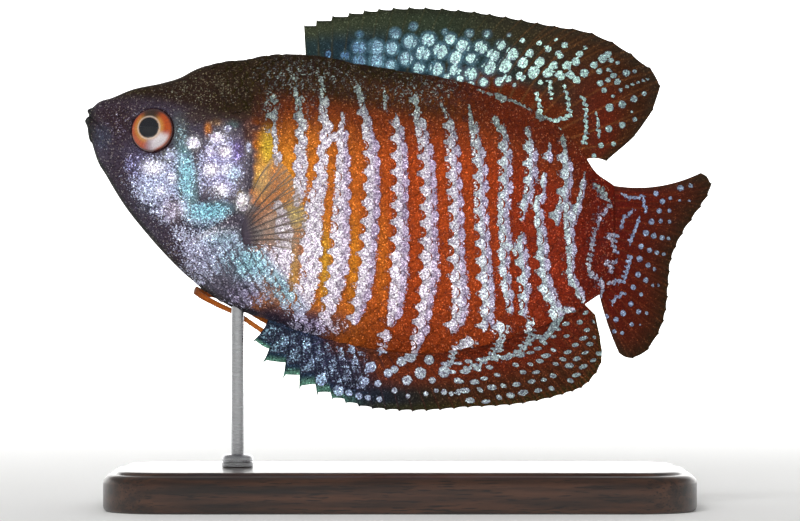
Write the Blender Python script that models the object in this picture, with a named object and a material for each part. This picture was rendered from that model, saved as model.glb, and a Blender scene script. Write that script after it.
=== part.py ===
"""An adult male dwarf gourami as a still, life-size model on a display stand.

Millimetres are used throughout and scaled to metres when a mesh is made. A place on the fish is (x, z):
x runs back from the tip of the snout and z runs up from the lowest edge of the anal fin, as the fish is
held in the water. The head points to -X, the fish's left side faces -Y, and the floor is at Z = 0.
"""

import math

import bmesh
import bpy
import numpy as np

MM = 0.001

# Driving dimensions of the fish
FISH_LENGTH = 79.2
GAP = 0.3
MEMBRANE_HALF = 0.25
MARGIN_HALF = 0.18
RAY_ROOT_HALF = 0.42
RAY_TIP_HALF = 0.27
RAY_SHARE = 0.2
ROOT_HALF = 0.5
PECTORAL_ROOT_HALF = 0.45
PECTORAL_SPREAD = 2.0
BODY_START = 0.5
BODY_END = 64.3

# Driving dimensions of the display stand
BASE_SIZE = (74.0, 36.0)
BASE_THICKNESS = 5.0
BASE_CORNER = 8.0
BASE_BEVEL = 0.8
FIN_CLEARANCE = 7.0
ROD_RADIUS = 0.8
ROD_X = 19.0
ROD_SOCKET_DEPTH = 3.0
FERRULE_RADIUS = 2.0
FERRULE_HEIGHT = 1.6
LIFT = BASE_THICKNESS + FIN_CLEARANCE

# Profiles of the body without its fins: back, belly and half width
BACK = [
    (0.5, 38.45), (1.2, 39.1), (3.0, 39.75), (5.4, 40.75), (9.6, 41.7), (11.6, 42.3), (13.6, 43.35), (15.6, 44.05),
    (19.6, 44.65), (25.6, 45.35), (29.0, 45.1), (33.6, 44.2), (39.6, 43.2), (45.6, 42.2), (49.6, 41.2), (53.6, 39.7),
    (57.6, 37.6), (60.6, 35.4), (62.8, 32.9), (64.3, 30.6),
]
BELLY = [
    (0.5, 34.2), (1.0, 32.5), (2.4, 29.9), (4.2, 26.9), (7.6, 22.5), (11.6, 18.2), (15.6, 14.8), (19.6, 12.7),
    (22.4, 11.9), (26.6, 10.4), (31.6, 8.9), (37.6, 7.7), (43.6, 7.4), (49.6, 8.3), (55.6, 10.1), (59.6, 11.8),
    (62.6, 13.4), (64.3, 14.5),
]
HALF_WIDTH = [
    (0.5, 1.1), (1.5, 1.7), (3.0, 2.3), (5.0, 3.05), (8.0, 3.95), (11.0, 4.6), (15.0, 5.2), (20.0, 5.6),
    (25.0, 5.7), (30.0, 5.6), (36.0, 5.2), (42.0, 4.6), (48.0, 3.8), (54.0, 2.9), (59.0, 2.1), (62.5, 1.5),
    (64.3, 1.15),
]
# Share of the depth, from the belly, at which each section is widest
WIDEST_AT = [(0.5, 0.5), (8.0, 0.62), (16.0, 0.56), (40.0, 0.52), (64.3, 0.5)]
# Fullness of each section above and below that height: larger is boxier
FULL_ABOVE = [(0.5, 2.0), (9.0, 1.9), (20.0, 1.7), (45.0, 1.45), (64.3, 1.3)]
FULL_BELOW = [(0.5, 1.9), (10.0, 1.65), (20.0, 1.5), (30.0, 1.3), (64.3, 1.25)]
RIDGE = [(0.5, 0.3), (22.0, 0.35), (27.0, 0.5), (64.3, 0.5)]

# Cuts that part the body, from the back down to the belly
JAW_BORDER = [(2.9, 43.0), (3.2, 38.0), (2.7, 35.3), (3.9, 32.4), (4.3, 29.6), (3.4, 25.0)]
NECK_CUT = [(18.0, 48.0), (18.0, 36.0), (18.2, 30.0), (17.0, 25.0), (14.5, 21.0), (12.3, 17.0), (11.8, 14.0)]
STALK_CUT = [(54.8, 43.0), (55.6, 32.0), (55.9, 24.0), (55.3, 16.0), (54.2, 6.0)]
MOUTH_FRONT = (-0.2, 37.9)
MOUTH_CORNER = (2.4, 35.3)
UPPER_LIP = (0.55, 0.42)
LOWER_LIP = (-0.66, 0.52)
LIP_FRONT = 0.4

# Gill cover, as its outline on the side of the head
GILL_COVER = [
    (15.0, 36.0), (16.2, 36.9), (17.8, 37.1), (19.4, 36.4), (20.4, 34.4), (20.8, 31.2), (20.5, 28.2), (19.6, 25.8),
    (17.8, 24.3), (15.3, 22.9), (13.2, 22.3), (12.6, 23.8), (13.5, 26.0), (14.4, 28.9), (14.8, 32.4),
]
GILL_COVER_PROUD = 0.3
GILL_COVER_DEPTH = 2.4

# Eye and nostrils
EYE_AT = (8.37, 35.6)
EYE_RADIUS = 2.85
EYE_HALF_DEPTH = 1.35
EYE_SUNK = 0.4
ORBIT_RIM = 0.3
NOSTRILS = [((3.9, 37.5), 0.28), ((5.0, 38.1), 0.34)]
NOSTRIL_DEPTH = 0.6

# Fin rays that set each fin's shape, as (ray number, place of the root, tip x, tip z, bow). A dorsal or anal
# root is its x along the body, and a positive bow curves the ray towards the tail or down.
DORSAL_RAYS = [
    (0, 27.6, 27.4, 49.2, 0.0), (1, 29.3, 29.0, 49.9, 0.0), (3, 32.5, 33.2, 50.8, 0.0),
    (6, 37.4, 38.8, 51.4, -0.2), (10, 43.6, 47.0, 51.1, -0.4), (13, 48.0, 53.0, 50.2, -0.6),
    (16, 52.2, 59.2, 49.0, -0.8), (18, 55.0, 64.0, 48.1, -1.0), (20, 57.8, 69.0, 45.5, -0.9),
    (22, 60.3, 72.7, 41.4, -0.4), (23, 61.5, 71.8, 38.4, 0.0), (24, 62.6, 69.4, 35.0, 0.3),
    (25, 63.5, 65.8, 31.8, 0.2),
]
ANAL_RAYS = [
    (0, 22.8, 20.8, 8.9, 0.2), (1, 24.1, 22.1, 6.1, 0.3), (2, 25.5, 24.7, 4.1, 0.3), (3, 26.9, 26.8, 2.7, 0.2),
    (4, 28.3, 29.1, 2.0, 0.1), (7, 32.4, 34.4, 0.6, 0.2), (11, 38.0, 41.2, 0.0, 0.3), (15, 43.6, 48.2, 0.5, 0.4),
    (19, 49.2, 55.2, 1.0, 0.5), (22, 53.2, 60.2, 2.1, 0.5), (25, 57.0, 63.6, 3.7, 0.3), (27, 59.5, 65.2, 6.2, 0.1),
    (29, 62.0, 65.0, 9.5, 0.0), (30, 63.2, 64.4, 12.3, 0.0),
]
CAUDAL_RAYS = [
    (0, (64.9, 29.1), 78.4, 30.5, 1.2), (1, (64.9, 28.2), 79.3, 29.0, 1.1), (3, (64.9, 26.4), 77.9, 26.0, 0.7),
    (5, (64.9, 24.6), 75.6, 22.6, 0.4), (7, (64.9, 22.8), 74.2, 19.4, 0.1), (9, (64.9, 20.9), 73.8, 16.2, -0.1),
    (11, (64.9, 19.0), 73.5, 13.0, -0.2), (13, (64.9, 17.2), 72.6, 9.9, -0.3), (14, (64.9, 16.3), 71.3, 7.9, -0.3),
    (15, (64.9, 15.5), 69.3, 6.7, -0.3), (16, (64.9, 14.8), 67.3, 7.4, -0.2),
]
PECTORAL_RAYS = [
    (0, (20.1, 24.7), 23.9, 32.6, -0.5), (1, (20.2, 24.3), 25.4, 31.0, -0.4), (3, (20.3, 23.6), 26.8, 28.6, -0.3),
    (5, (20.4, 22.9), 27.7, 25.8, -0.1), (7, (20.6, 22.2), 28.0, 23.2, 0.1), (8, (20.7, 21.7), 27.3, 21.6, 0.2),
    (9, (20.8, 21.2), 26.0, 20.4, 0.2),
]
# How far each of the first spines stands past the membrane before it, as a share of the spine
DORSAL_SPINES = [0.2, 0.2, 0.14, 0.1, 0.08, 0.06, 0.05, 0.04, 0.03, 0.03, 0.03, 0.02, 0.02, 0.02, 0.02, 0.02]
ANAL_SPINES = [0.4, 0.3, 0.22, 0.17, 0.12, 0.07, 0.05, 0.04, 0.03, 0.03, 0.03, 0.03, 0.03, 0.02, 0.02, 0.02]
SOFT_CUT = 0.012

# Pelvic threads, from root to tip, as (x, y, z) beside the middle of the fish. Both trail past the rod and the
# anal fin on the fish's right side.
THREAD_ROUTES = {
    "pelvic_thread_l": [
        (13.7, -0.55, 15.3), (14.6, 0.1, 14.6), (16.4, 1.5, 13.6), (19.0, 2.05, 12.3), (23.5, 2.0, 9.4),
        (30.0, 1.7, 6.3), (38.0, 1.6, 4.6), (46.0, 1.7, 4.5), (52.0, 2.0, 5.4),
    ],
    "pelvic_thread_r": [
        (13.7, 0.8, 15.5), (14.9, 1.9, 15.0), (16.6, 2.9, 14.6), (19.0, 3.3, 13.5), (23.5, 3.3, 10.9),
        (30.0, 3.0, 7.9), (38.0, 2.8, 6.3), (46.0, 2.9, 6.4), (53.0, 3.2, 7.6),
    ],
}
THREAD_ROOT_RADIUS, THREAD_TIP_RADIUS = 0.42, 0.25

COLOURS = {
    "dark_head": ((0.10, 0.09, 0.08), 0.45, 0.1),
    "cheek_silver": ((0.45, 0.55, 0.62), 0.35, 0.4),
    "flank_red": ((0.50, 0.13, 0.03), 0.4, 0.1),
    "fin_red": ((0.30, 0.07, 0.02), 0.45, 0.0),
    "fin_clear": ((0.55, 0.45, 0.30), 0.4, 0.0),
    "iris_orange": ((0.75, 0.28, 0.04), 0.15, 0.0),
    "thread_orange": ((0.70, 0.25, 0.04), 0.5, 0.0),
    "stand_wood": ((0.05, 0.035, 0.025), 0.4, 0.0),
    "stand_steel": ((0.55, 0.55, 0.57), 0.3, 1.0),
}


def smooth(points):
    """A function through (place, value) points, in cubic pieces that share their slopes."""
    places = np.array([p[0] for p in points], float)
    values = np.array([p[1] for p in points], float)
    steps = np.diff(places)
    chords = np.diff(values) / steps
    inner = (steps[:-1] * chords[1:] + steps[1:] * chords[:-1]) / (steps[:-1] + steps[1:])
    slopes = np.concatenate([[chords[0]], inner, [chords[-1]]])

    def at(place):
        place = np.clip(place, places[0], places[-1])
        i = np.clip(np.searchsorted(places, place) - 1, 0, len(steps) - 1)
        t = (place - places[i]) / steps[i]
        return (
            values[i] * (1 + 2 * t) * (1 - t) ** 2
            + values[i + 1] * t**2 * (3 - 2 * t)
            + slopes[i] * steps[i] * t * (1 - t) ** 2
            - slopes[i + 1] * steps[i] * t**2 * (1 - t)
        )

    return at


def through(points, places=None):
    """A curve through points, as a function that reaches each at its place: 0, 1, 2 or as given."""
    places = range(len(points)) if places is None else places
    axes = [smooth(list(zip(places, values))) for values in zip(*points)]
    return lambda t: np.array([axis(t) for axis in axes])


back, belly, half_width = smooth(BACK), smooth(BELLY), smooth(HALF_WIDTH)
widest_at, ridge = smooth(WIDEST_AT), smooth(RIDGE)
full_above, full_below = smooth(FULL_ABOVE), smooth(FULL_BELOW)


def flank(x, z, fatter=0.0):
    """Half the body's thickness at a place on its side."""
    top, bottom, widest, rim = back(x), belly(x), half_width(x) + fatter, ridge(x)
    middle = bottom + (top - bottom) * widest_at(x)
    above = z > middle
    reach = np.where(above, top - middle, middle - bottom)
    t = np.clip(np.abs(z - middle) / reach, 0, 1)
    fullness = np.where(above, full_above(x), full_below(x))
    return rim + (widest - rim) * (1 - t**2) ** (1 / fullness)


def world(x, y, z):
    """A place on the fish, in millimetres, as a point of the model in metres."""
    return ((x - FISH_LENGTH / 2) * MM, y * MM, (z + LIFT) * MM)


def material(name, look):
    colour, roughness, metallic = COLOURS[look]
    made = bpy.data.materials.new(name)
    made.use_nodes = True
    shader = made.node_tree.nodes["Principled BSDF"]
    shader.inputs["Base Color"].default_value = (*colour, 1.0)
    shader.inputs["Roughness"].default_value = roughness
    shader.inputs["Metallic"].default_value = metallic
    made.diffuse_color = (*colour, 1.0)
    return made


def mesh_object(name, points, faces, look=None):
    """One object from points in metres, with its faces turned outwards and a material of its own."""
    mesh = bpy.data.meshes.new(name)
    mesh.from_pydata([tuple(p) for p in points], [], faces)
    shape = bmesh.new()
    shape.from_mesh(mesh)
    bmesh.ops.triangulate(shape, faces=[f for f in shape.faces if len(f.verts) > 4])
    bmesh.ops.recalc_face_normals(shape, faces=shape.faces)
    shape.to_mesh(mesh)
    shape.free()
    mesh.shade_smooth()
    mesh.set_sharp_from_angle(angle=math.radians(40))
    made = bpy.data.objects.new(name, mesh)
    bpy.context.scene.collection.objects.link(made)
    if look:
        mesh.materials.append(material(name, look))
    return made


def boolean(target, operation, others, solver="EXACT"):
    """Applies one Boolean of a collection of closed objects to the target, then removes them."""
    tools = bpy.data.collections.new("tools")
    bpy.context.scene.collection.children.link(tools)
    for other in others:
        tools.objects.link(other)
    modifier = target.modifiers.new("boolean", "BOOLEAN")
    modifier.operation = operation
    modifier.solver = solver
    modifier.operand_type = "COLLECTION"
    modifier.collection = tools
    graph = bpy.context.evaluated_depsgraph_get()
    made = bpy.data.meshes.new_from_object(target.evaluated_get(graph))
    target.modifiers.remove(modifier)
    target.data = made
    for other in others:
        bpy.data.objects.remove(other)
    bpy.data.collections.remove(tools)
    keep_largest(target)
    return target


def keep_largest(target):
    """Leaves only the closed surface with the most volume."""
    shape = bmesh.new()
    shape.from_mesh(target.data)
    bmesh.ops.triangulate(shape, faces=shape.faces)
    left, shells = set(shape.verts), []
    while left:
        shell, front = set(), {left.pop()}
        while front:
            shell |= front
            front = {e.other_vert(v) for v in front for e in v.link_edges} - shell
        left -= shell
        shells.append(shell)

    def volume(shell):
        faces = {f for v in shell for f in v.link_faces}
        return sum(f.verts[0].co.cross(f.verts[1].co).dot(f.verts[2].co) for f in faces)

    shells.sort(key=volume)
    dropped = [v for shell in shells[:-1] for v in shell]
    bmesh.ops.delete(shape, geom=dropped, context="VERTS")
    shape.to_mesh(target.data)
    shape.free()


def stations():
    """Places of the body's sections, close together at the snout."""
    near = BODY_START + 7.0 * (np.linspace(0, 1, 12) ** 1.6)
    far = np.linspace(near[-1], BODY_END, 34)[1:]
    return np.concatenate([near, far])


def body(name, fatter=0.0, levels=13, look="flank_red"):
    """The whole body as one closed loft of upright sections."""
    rise = (1 - np.cos(np.pi * np.linspace(0, 1, levels))) / 2
    points, faces = [], []
    for x in stations():
        z = belly(x) + (back(x) - belly(x)) * rise
        y = flank(x, z, fatter)
        points += [world(x, -a, b) for a, b in zip(y, z)]
        points += [world(x, a, b) for a, b in zip(y[::-1], z[::-1])]
    ring = 2 * levels
    count = len(points) // ring
    for i in range(count - 1):
        for k in range(ring):
            a, b = i * ring + k, i * ring + (k + 1) % ring
            faces.append((a, b, b + ring, a + ring))
    faces.append(tuple(range(ring)))
    faces.append(tuple(range((count - 1) * ring, count * ring)))
    return mesh_object(name, points, faces, look)


def prism(outline, low, high):
    """An outline on the side of the fish, swept across it from low to high."""
    count = len(outline)
    points = [world(x, y, z) for y in (low, high) for x, z in outline]
    faces = [tuple(range(count)), tuple(range(count, 2 * count))]
    faces += [(i, (i + 1) % count, (i + 1) % count + count, i + count) for i in range(count)]
    return mesh_object("prism", points, faces)


def rounded(outline, steps=3):
    """A closed outline through the same points with curved sides."""
    curve = through([outline[-1], *outline, outline[0], outline[1]])
    places = np.linspace(1, len(outline) + 1, len(outline) * steps, endpoint=False)
    return [tuple(curve(t)) for t in places]


def grown(outline, by):
    """A closed outline moved outwards all round."""
    points = np.array(outline)
    ahead, behind = np.roll(points, -1, 0), np.roll(points, 1, 0)
    along = ahead - behind
    outward = np.stack([along[:, 1], -along[:, 0]], 1)
    outward /= np.linalg.norm(outward, axis=1)[:, None]
    turn = np.sum(points[:, 0] * ahead[:, 1] - ahead[:, 0] * points[:, 1])
    return [tuple(p) for p in points + outward * by * np.sign(turn)]


def shifted(line, by):
    return [(x + by, z) for x, z in line]


def gill_cover(name, side):
    """A gill cover: a plate that follows the head and stands a little proud of it."""
    plate = body(name, fatter=GILL_COVER_PROUD, look="cheek_silver")
    inner = float(half_width(18.0)) - GILL_COVER_DEPTH
    boolean(plate, "INTERSECT", [prism(rounded(GILL_COVER), side * inner, side * 12.0)])
    return plate


def gill_pocket(side):
    inner = float(half_width(18.0)) - GILL_COVER_DEPTH - GAP
    return prism(grown(rounded(GILL_COVER), GAP), side * inner, side * 12.0)


def eye_axes(side):
    """The eye's centre on the head and its axes: outwards, backwards and upwards."""
    x, z = EYE_AT
    step = 0.5
    out = np.array(
        [
            -(flank(x + step, z) - flank(x - step, z)) / (2 * step),
            1.0,
            -(flank(x, z + step) - flank(x, z - step)) / (2 * step),
        ]
    )
    out /= np.linalg.norm(out)
    centre = np.array([x, float(flank(x, z)), z]) - out * EYE_SUNK
    mirror = np.array([1.0, side, 1.0])
    out, centre = out * mirror, centre * mirror
    up = np.array([0.0, 0.0, 1.0])
    up -= out * out.dot(up)
    up /= np.linalg.norm(up)
    return centre, out, np.cross(up, out), up


def eyeball(name, side, bigger, look=None, around=28, levels=10):
    """A flattened ball that looks out of the side of the head."""
    centre, out, aside, up = eye_axes(side)
    depth, radius = EYE_HALF_DEPTH + bigger, EYE_RADIUS + bigger
    points = [world(*(centre + out * depth)), world(*(centre - out * depth))]
    for k in range(1, levels):
        tilt = math.pi * k / levels
        for i in range(around):
            turn = 2 * math.pi * i / around
            flat = aside * math.cos(turn) + up * math.sin(turn)
            points.append(world(*(centre + out * depth * math.cos(tilt) + flat * radius * math.sin(tilt))))
    faces = []
    last = 2 + (levels - 2) * around
    for i in range(around):
        j = (i + 1) % around
        faces.append((0, 2 + i, 2 + j))
        faces.append((1, last + j, last + i))
        for k in range(levels - 2):
            a = 2 + k * around
            faces.append((a + i, a + around + i, a + around + j, a + j))
    return mesh_object(name, points, faces, look)


def tube(name, places, radii, look=None, sides=8, closed=False):
    """A round tube through places, with its own radius at each."""
    places = np.array(places, float)
    count = len(places)
    if closed:
        ahead, behind = np.roll(places, -1, 0), np.roll(places, 1, 0)
    else:
        ahead = np.vstack([places[1:], places[-1:]])
        behind = np.vstack([places[:1], places[:-1]])
    along = ahead - behind
    along /= np.linalg.norm(along, axis=1)[:, None]
    points, faces = [], []
    across = np.cross(along[0], (0.31, 0.17, 0.93))
    for place, direction, radius in zip(places, along, radii):
        across = across - direction * direction.dot(across)
        across /= np.linalg.norm(across)
        other = np.cross(direction, across)
        for k in range(sides):
            turn = 2 * math.pi * k / sides
            points.append(world(*(place + radius * (across * math.cos(turn) + other * math.sin(turn)))))
    for i in range(count if closed else count - 1):
        for k in range(sides):
            a, b = i * sides + k, i * sides + (k + 1) % sides
            c, d = ((i + 1) % count) * sides + k, ((i + 1) % count) * sides + (k + 1) % sides
            faces.append((a, b, d, c))
    if not closed:
        faces += [tuple(range(sides)), tuple(range((count - 1) * sides, count * sides))]
    return mesh_object(name, points, faces, look)


def orbit_rim(side, around=28):
    """The low rim of skin round the eye, laid on the head."""
    centre, out, aside, up = eye_axes(side)
    radius = EYE_RADIUS + GAP + 0.6 * ORBIT_RIM
    places = []
    for i in range(around):
        turn = 2 * math.pi * i / around
        x, y, z = centre + radius * (aside * math.cos(turn) + up * math.sin(turn))
        places.append((x, side * (float(flank(x, z)) - 0.4 * ORBIT_RIM), z))
    return tube("rim", places, [ORBIT_RIM] * around, sides=6, closed=True)


def nostril(place, radius, side):
    x, z = place
    surface = float(flank(x, z))
    ends = [(x, side * (surface - NOSTRIL_DEPTH), z), (x - 0.2, side * (surface + 1.0), z + 0.1)]
    return tube("nostril", ends, [0.6 * radius, 1.3 * radius])


def mouth_line(x, higher=0.0):
    """A place on the line of the mouth, or above it."""
    (x0, z0), (x1, z1) = MOUTH_FRONT, MOUTH_CORNER
    return x, z0 + (z1 - z0) * (x - x0) / (x1 - x0) + higher


def lip(higher, radius):
    """A lip, from the left corner of the mouth round the front to the right corner."""
    places, radii = [], []
    front, corner = BODY_START - 0.5 * radius, MOUTH_CORNER[0]
    for t in np.linspace(-1, 1, 19):
        across = min(1.0, abs(t) / LIP_FRONT)
        aside = max(0.0, (abs(t) - LIP_FRONT) / (1 - LIP_FRONT))
        x, z = mouth_line(front + (corner - front) * aside, higher)
        width = float(flank(max(x, BODY_START), z))
        places.append((x, math.copysign(width * math.sin(math.pi / 2 * across), t), z))
        radii.append(radius * (1 - 0.35 * aside))
    return tube("lip", places, radii, sides=8)


def jaw(name, above, lip_shape, border):
    """One jaw with its lip: the body's front, cut along the mouth's line and along the jaw's border."""
    made = body(name, look="dark_head")
    boolean(made, "UNION", [lip(*lip_shape)], "MANIFOLD")
    region = [mouth_line(-4.0, above), mouth_line(MOUTH_CORNER[0], above), *border]
    boolean(made, "INTERSECT", [prism(region, -12, 12)], "MANIFOLD")


def jaws():
    half_gap = 0.7 * GAP
    jaw("upper_jaw", half_gap, UPPER_LIP, [*JAW_BORDER[1::-1], (-9.0, 43.0)])
    jaw("lower_jaw", -half_gap, LOWER_LIP, [*JAW_BORDER[3:], (-9.0, 25.0)])


def head():
    """The skull and cheeks, with sockets for the eyes, pits for the nostrils and room for the gill covers."""
    made = body("head", look="dark_head")
    region = [*shifted(JAW_BORDER, GAP), *shifted(NECK_CUT[::-1], -0.5 * GAP)]
    boolean(made, "INTERSECT", [prism(region, -12, 12)])
    boolean(made, "UNION", [orbit_rim(-1), orbit_rim(1)])
    cutters = [eyeball("socket", side, GAP) for side in (-1, 1)]
    cutters += [gill_pocket(side) for side in (-1, 1)]
    cutters += [nostril(place, radius, side) for place, radius in NOSTRILS for side in (-1, 1)]
    boolean(made, "DIFFERENCE", cutters)


def trunk():
    """The flanks and belly, with a hole in the belly for the stand's rod."""
    made = body("trunk")
    below = [(NECK_CUT[-1][0], 0.0), (STALK_CUT[-1][0], 0.0)]
    region = [*shifted(NECK_CUT, 0.5 * GAP), *below, *shifted(STALK_CUT[::-1], -0.5 * GAP)]
    boolean(made, "INTERSECT", [prism(region, -12, 12)])
    top = float(belly(ROD_X)) + ROD_SOCKET_DEPTH
    hole = tube("hole", [(ROD_X, 0, 0), (ROD_X, 0, top + GAP)], [ROD_RADIUS + GAP] * 2, sides=16)
    boolean(made, "DIFFERENCE", [hole, gill_pocket(-1), gill_pocket(1)])


def tail_stalk():
    made = body("tail_stalk")
    region = [*shifted(STALK_CUT, 0.5 * GAP), (BODY_END + 5, 5), (BODY_END + 5, 43)]
    boolean(made, "INTERSECT", [prism(region, -12, 12)])


def ray_curves(rays, root_of):
    """Root line, line of middles and margin of a fin, by ray number, from the rays that set its shape."""
    roots, middles, tips = [], [], []
    for _, place, x, z, bow in rays:
        root, tip = np.array(root_of(place)), np.array([x, z])
        along = tip - root
        across = np.array([along[1], -along[0]]) / np.linalg.norm(along)
        across *= 1 if across[0] >= 0 else -1
        roots.append(root)
        middles.append((root + tip) / 2 + across * bow)
        tips.append(tip)
    numbers = [ray[0] for ray in rays]
    return through(roots, numbers), through(middles, numbers), through(tips, numbers)


def fin(name, rays, root_of, place_at, look, spines=(), bands=5, root_half=ROOT_HALF):
    """A fin as a closed sheet whose rays are ridges raised in both of its faces.

    place_at(x, z, s, t) gives the sheet's middle y at s along a ray, with t from 0 to 1 over the rays. Each of
    the first rays, named in spines, is a spine that stands past the membrane before it by that share of its
    length.
    """
    root, middle, tip = ray_curves(rays, root_of)
    count = rays[-1][0] + 1
    heights = np.linspace(0, 1, bands + 1) ** 0.85
    near, far = [], []
    for i in range(count):
        cut = spines[i] if i < len(spines) else SOFT_CUT
        for foot in (-1, 0, 1):
            if (i == 0 and foot < 0) or (i == count - 1 and foot > 0):
                continue
            reach = {-1: 1 - cut, 0: 1.0, 1: 1 - 0.3 * cut}[foot]
            for s in heights:
                number = i + foot * RAY_SHARE * (1 - 0.45 * s)
                x, z = along_ray(root(number), middle(number), tip(number), s * reach)
                half = sheet_half(s, foot == 0, root_half)
                y = place_at(x, z, s * reach, number / (count - 1))
                near.append(world(x, y - half, z))
                far.append(world(x, y + half, z))
    return closed_sheet(name, near, far, bands + 1, look)


def along_ray(root, middle, tip, s):
    """The place at s along a ray that bends through its middle."""
    return root * (1 - s) * (1 - 2 * s) + middle * 4 * s * (1 - s) + tip * s * (2 * s - 1)


def sheet_half(s, on_ray, root_half):
    """Half the thickness of a fin at s along it, on a ray or between rays."""
    root = max(0.0, 1 - s / 0.3) ** 1.5
    if on_ray:
        return RAY_ROOT_HALF + (RAY_TIP_HALF - RAY_ROOT_HALF) * s + (root_half - RAY_ROOT_HALF) * root
    membrane = MEMBRANE_HALF + (MARGIN_HALF - MEMBRANE_HALF) * s**3
    return membrane + (root_half - 0.08 - membrane) * root


def closed_sheet(name, near, far, rows, look):
    """Two grids of points, one behind the other, joined round their edge, with triangles alike on both."""
    count = len(near)
    columns = count // rows
    faces = []
    for i in range(columns - 1):
        for j in range(rows - 1):
            a, b = i * rows + j, (i + 1) * rows + j
            for c in (0, count):
                faces += [(a + c, b + c, b + 1 + c), (a + c, b + 1 + c, a + 1 + c)]
    rim = [i * rows for i in range(columns)]
    rim += [(columns - 1) * rows + j for j in range(1, rows)]
    rim += [i * rows + rows - 1 for i in range(columns - 2, -1, -1)]
    rim += list(range(rows - 2, 0, -1))
    for a, b in zip(rim, rim[1:] + rim[:1]):
        faces += [(a, b, b + count), (a, b + count, a + count)]
    return mesh_object(name, near + far, faces, look)


def on_back(x):
    return x, float(back(x)) + GAP


def on_belly(x):
    return x, float(belly(x)) - GAP


def wave(height, turns):
    """A soft ripple that grows from the root of a fin to its margin."""
    return lambda x, z, s, t: height * s**2 * math.sin(2 * math.pi * turns * t)


def pectoral_place(side):
    """A pectoral fin leaves the flank at its root and stands further off towards its tips."""

    def at(x, z, s, t):
        return side * (float(flank(x, z)) + GAP + PECTORAL_ROOT_HALF + PECTORAL_SPREAD * s**1.3)

    return at


def fins():
    dorsal_ripple, anal_ripple, tail_ripple = wave(0.5, 1.3), wave(0.3, 1.5), wave(0.7, 0.5)
    fin("dorsal_fin", DORSAL_RAYS, on_back, dorsal_ripple, "fin_red", DORSAL_SPINES)
    fin("anal_fin", ANAL_RAYS, on_belly, anal_ripple, "fin_red", ANAL_SPINES)
    fin("caudal_fin", CAUDAL_RAYS, lambda place: place, tail_ripple, "fin_red")
    for name, side in (("pectoral_fin_l", -1), ("pectoral_fin_r", 1)):
        fin(
            name, PECTORAL_RAYS, lambda place: place, pectoral_place(side), "fin_clear",
            bands=4, root_half=PECTORAL_ROOT_HALF,
        )


def pelvic_threads():
    for name, route in THREAD_ROUTES.items():
        curve = through(route)
        steps = np.linspace(0, 1, 31)
        radii = THREAD_ROOT_RADIUS + (THREAD_TIP_RADIUS - THREAD_ROOT_RADIUS) * steps**0.6
        tube(name, [curve(t * (len(route) - 1)) for t in steps], radii, "thread_orange", sides=6)


def stand():
    """A flat base with round corners, and one rod with a ferrule turned on its foot."""
    base_middle = FISH_LENGTH / 2
    corners = [(1, 1), (-1, 1), (-1, -1), (1, -1)]
    points = []
    for level, inset in ((0, 0), (BASE_THICKNESS - BASE_BEVEL, 0), (BASE_THICKNESS, BASE_BEVEL)):
        for turn, (right, far) in enumerate(corners):
            for k in range(7):
                angle = math.radians(90 * turn + 15 * k)
                radius = BASE_CORNER - inset
                x = base_middle + right * (BASE_SIZE[0] / 2 - BASE_CORNER) + radius * math.cos(angle)
                y = far * (BASE_SIZE[1] / 2 - BASE_CORNER) + radius * math.sin(angle)
                points.append(world(x, y, level - LIFT))
    ring = len(points) // 3
    faces = [tuple(range(ring)), tuple(range(2 * ring, 3 * ring))]
    for level in range(2):
        for k in range(ring):
            a, b = level * ring + k, level * ring + (k + 1) % ring
            faces.append((a, b, b + ring, a + ring))
    mesh_object("stand_base", points, faces, "stand_wood")
    foot = BASE_THICKNESS - LIFT + GAP
    collar = foot + FERRULE_HEIGHT
    top = float(belly(ROD_X)) + ROD_SOCKET_DEPTH
    turned = [
        (foot, FERRULE_RADIUS), (collar - 0.4, FERRULE_RADIUS), (collar, FERRULE_RADIUS - 0.4),
        (collar + 0.05, ROD_RADIUS), (top, ROD_RADIUS),
    ]
    tube("stand_rod", [(ROD_X, 0, z) for z, _ in turned], [r for _, r in turned], "stand_steel", sides=16)


def clear_scene():
    for old in list(bpy.data.objects):
        bpy.data.objects.remove(old)


clear_scene()
jaws()
head()
gill_cover("gill_cover_l", -1)
gill_cover("gill_cover_r", 1)
eyeball("eye_l", -1, 0.0, "iris_orange")
eyeball("eye_r", 1, 0.0, "iris_orange")
trunk()
tail_stalk()
fins()
pelvic_threads()
stand()
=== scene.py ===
"""Looks for the life-size model of an adult male dwarf gourami on its display stand.

Sizes on the fish are millimetres, as (x, y, z): x runs back from the tip of the snout, y runs across towards
the fish's right, and z runs up from the lowest edge of the anal fin. place() turns them into metres of the
model.
"""

import math

import bpy
import numpy as np
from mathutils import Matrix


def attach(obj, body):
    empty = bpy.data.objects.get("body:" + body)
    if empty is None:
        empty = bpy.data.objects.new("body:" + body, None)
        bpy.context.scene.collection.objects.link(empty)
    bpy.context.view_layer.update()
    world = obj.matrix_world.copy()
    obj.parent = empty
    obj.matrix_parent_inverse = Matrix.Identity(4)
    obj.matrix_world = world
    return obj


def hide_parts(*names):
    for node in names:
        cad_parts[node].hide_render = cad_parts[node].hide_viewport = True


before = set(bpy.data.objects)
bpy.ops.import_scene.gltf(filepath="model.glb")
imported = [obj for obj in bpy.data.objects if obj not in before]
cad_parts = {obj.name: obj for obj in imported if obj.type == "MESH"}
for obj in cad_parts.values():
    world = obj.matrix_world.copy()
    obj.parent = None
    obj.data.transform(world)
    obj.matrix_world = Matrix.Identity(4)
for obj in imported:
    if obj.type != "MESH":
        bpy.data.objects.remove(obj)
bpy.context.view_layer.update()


# Studio
# A pale floor that curves up into a round wall far behind. A wide soft light beside the camera is like the
# flash of the photograph, and others stand above, behind and at the wall. The camera is square to the fish's
# left side.
MM = 0.001
FLOOR_FLAT = 1.2
WALL_RADIUS = 2.2
CAMERA_DISTANCE = 0.55
VIEW_WIDTH = 0.1015
VIEW_HEIGHT = 0.0312
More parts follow.
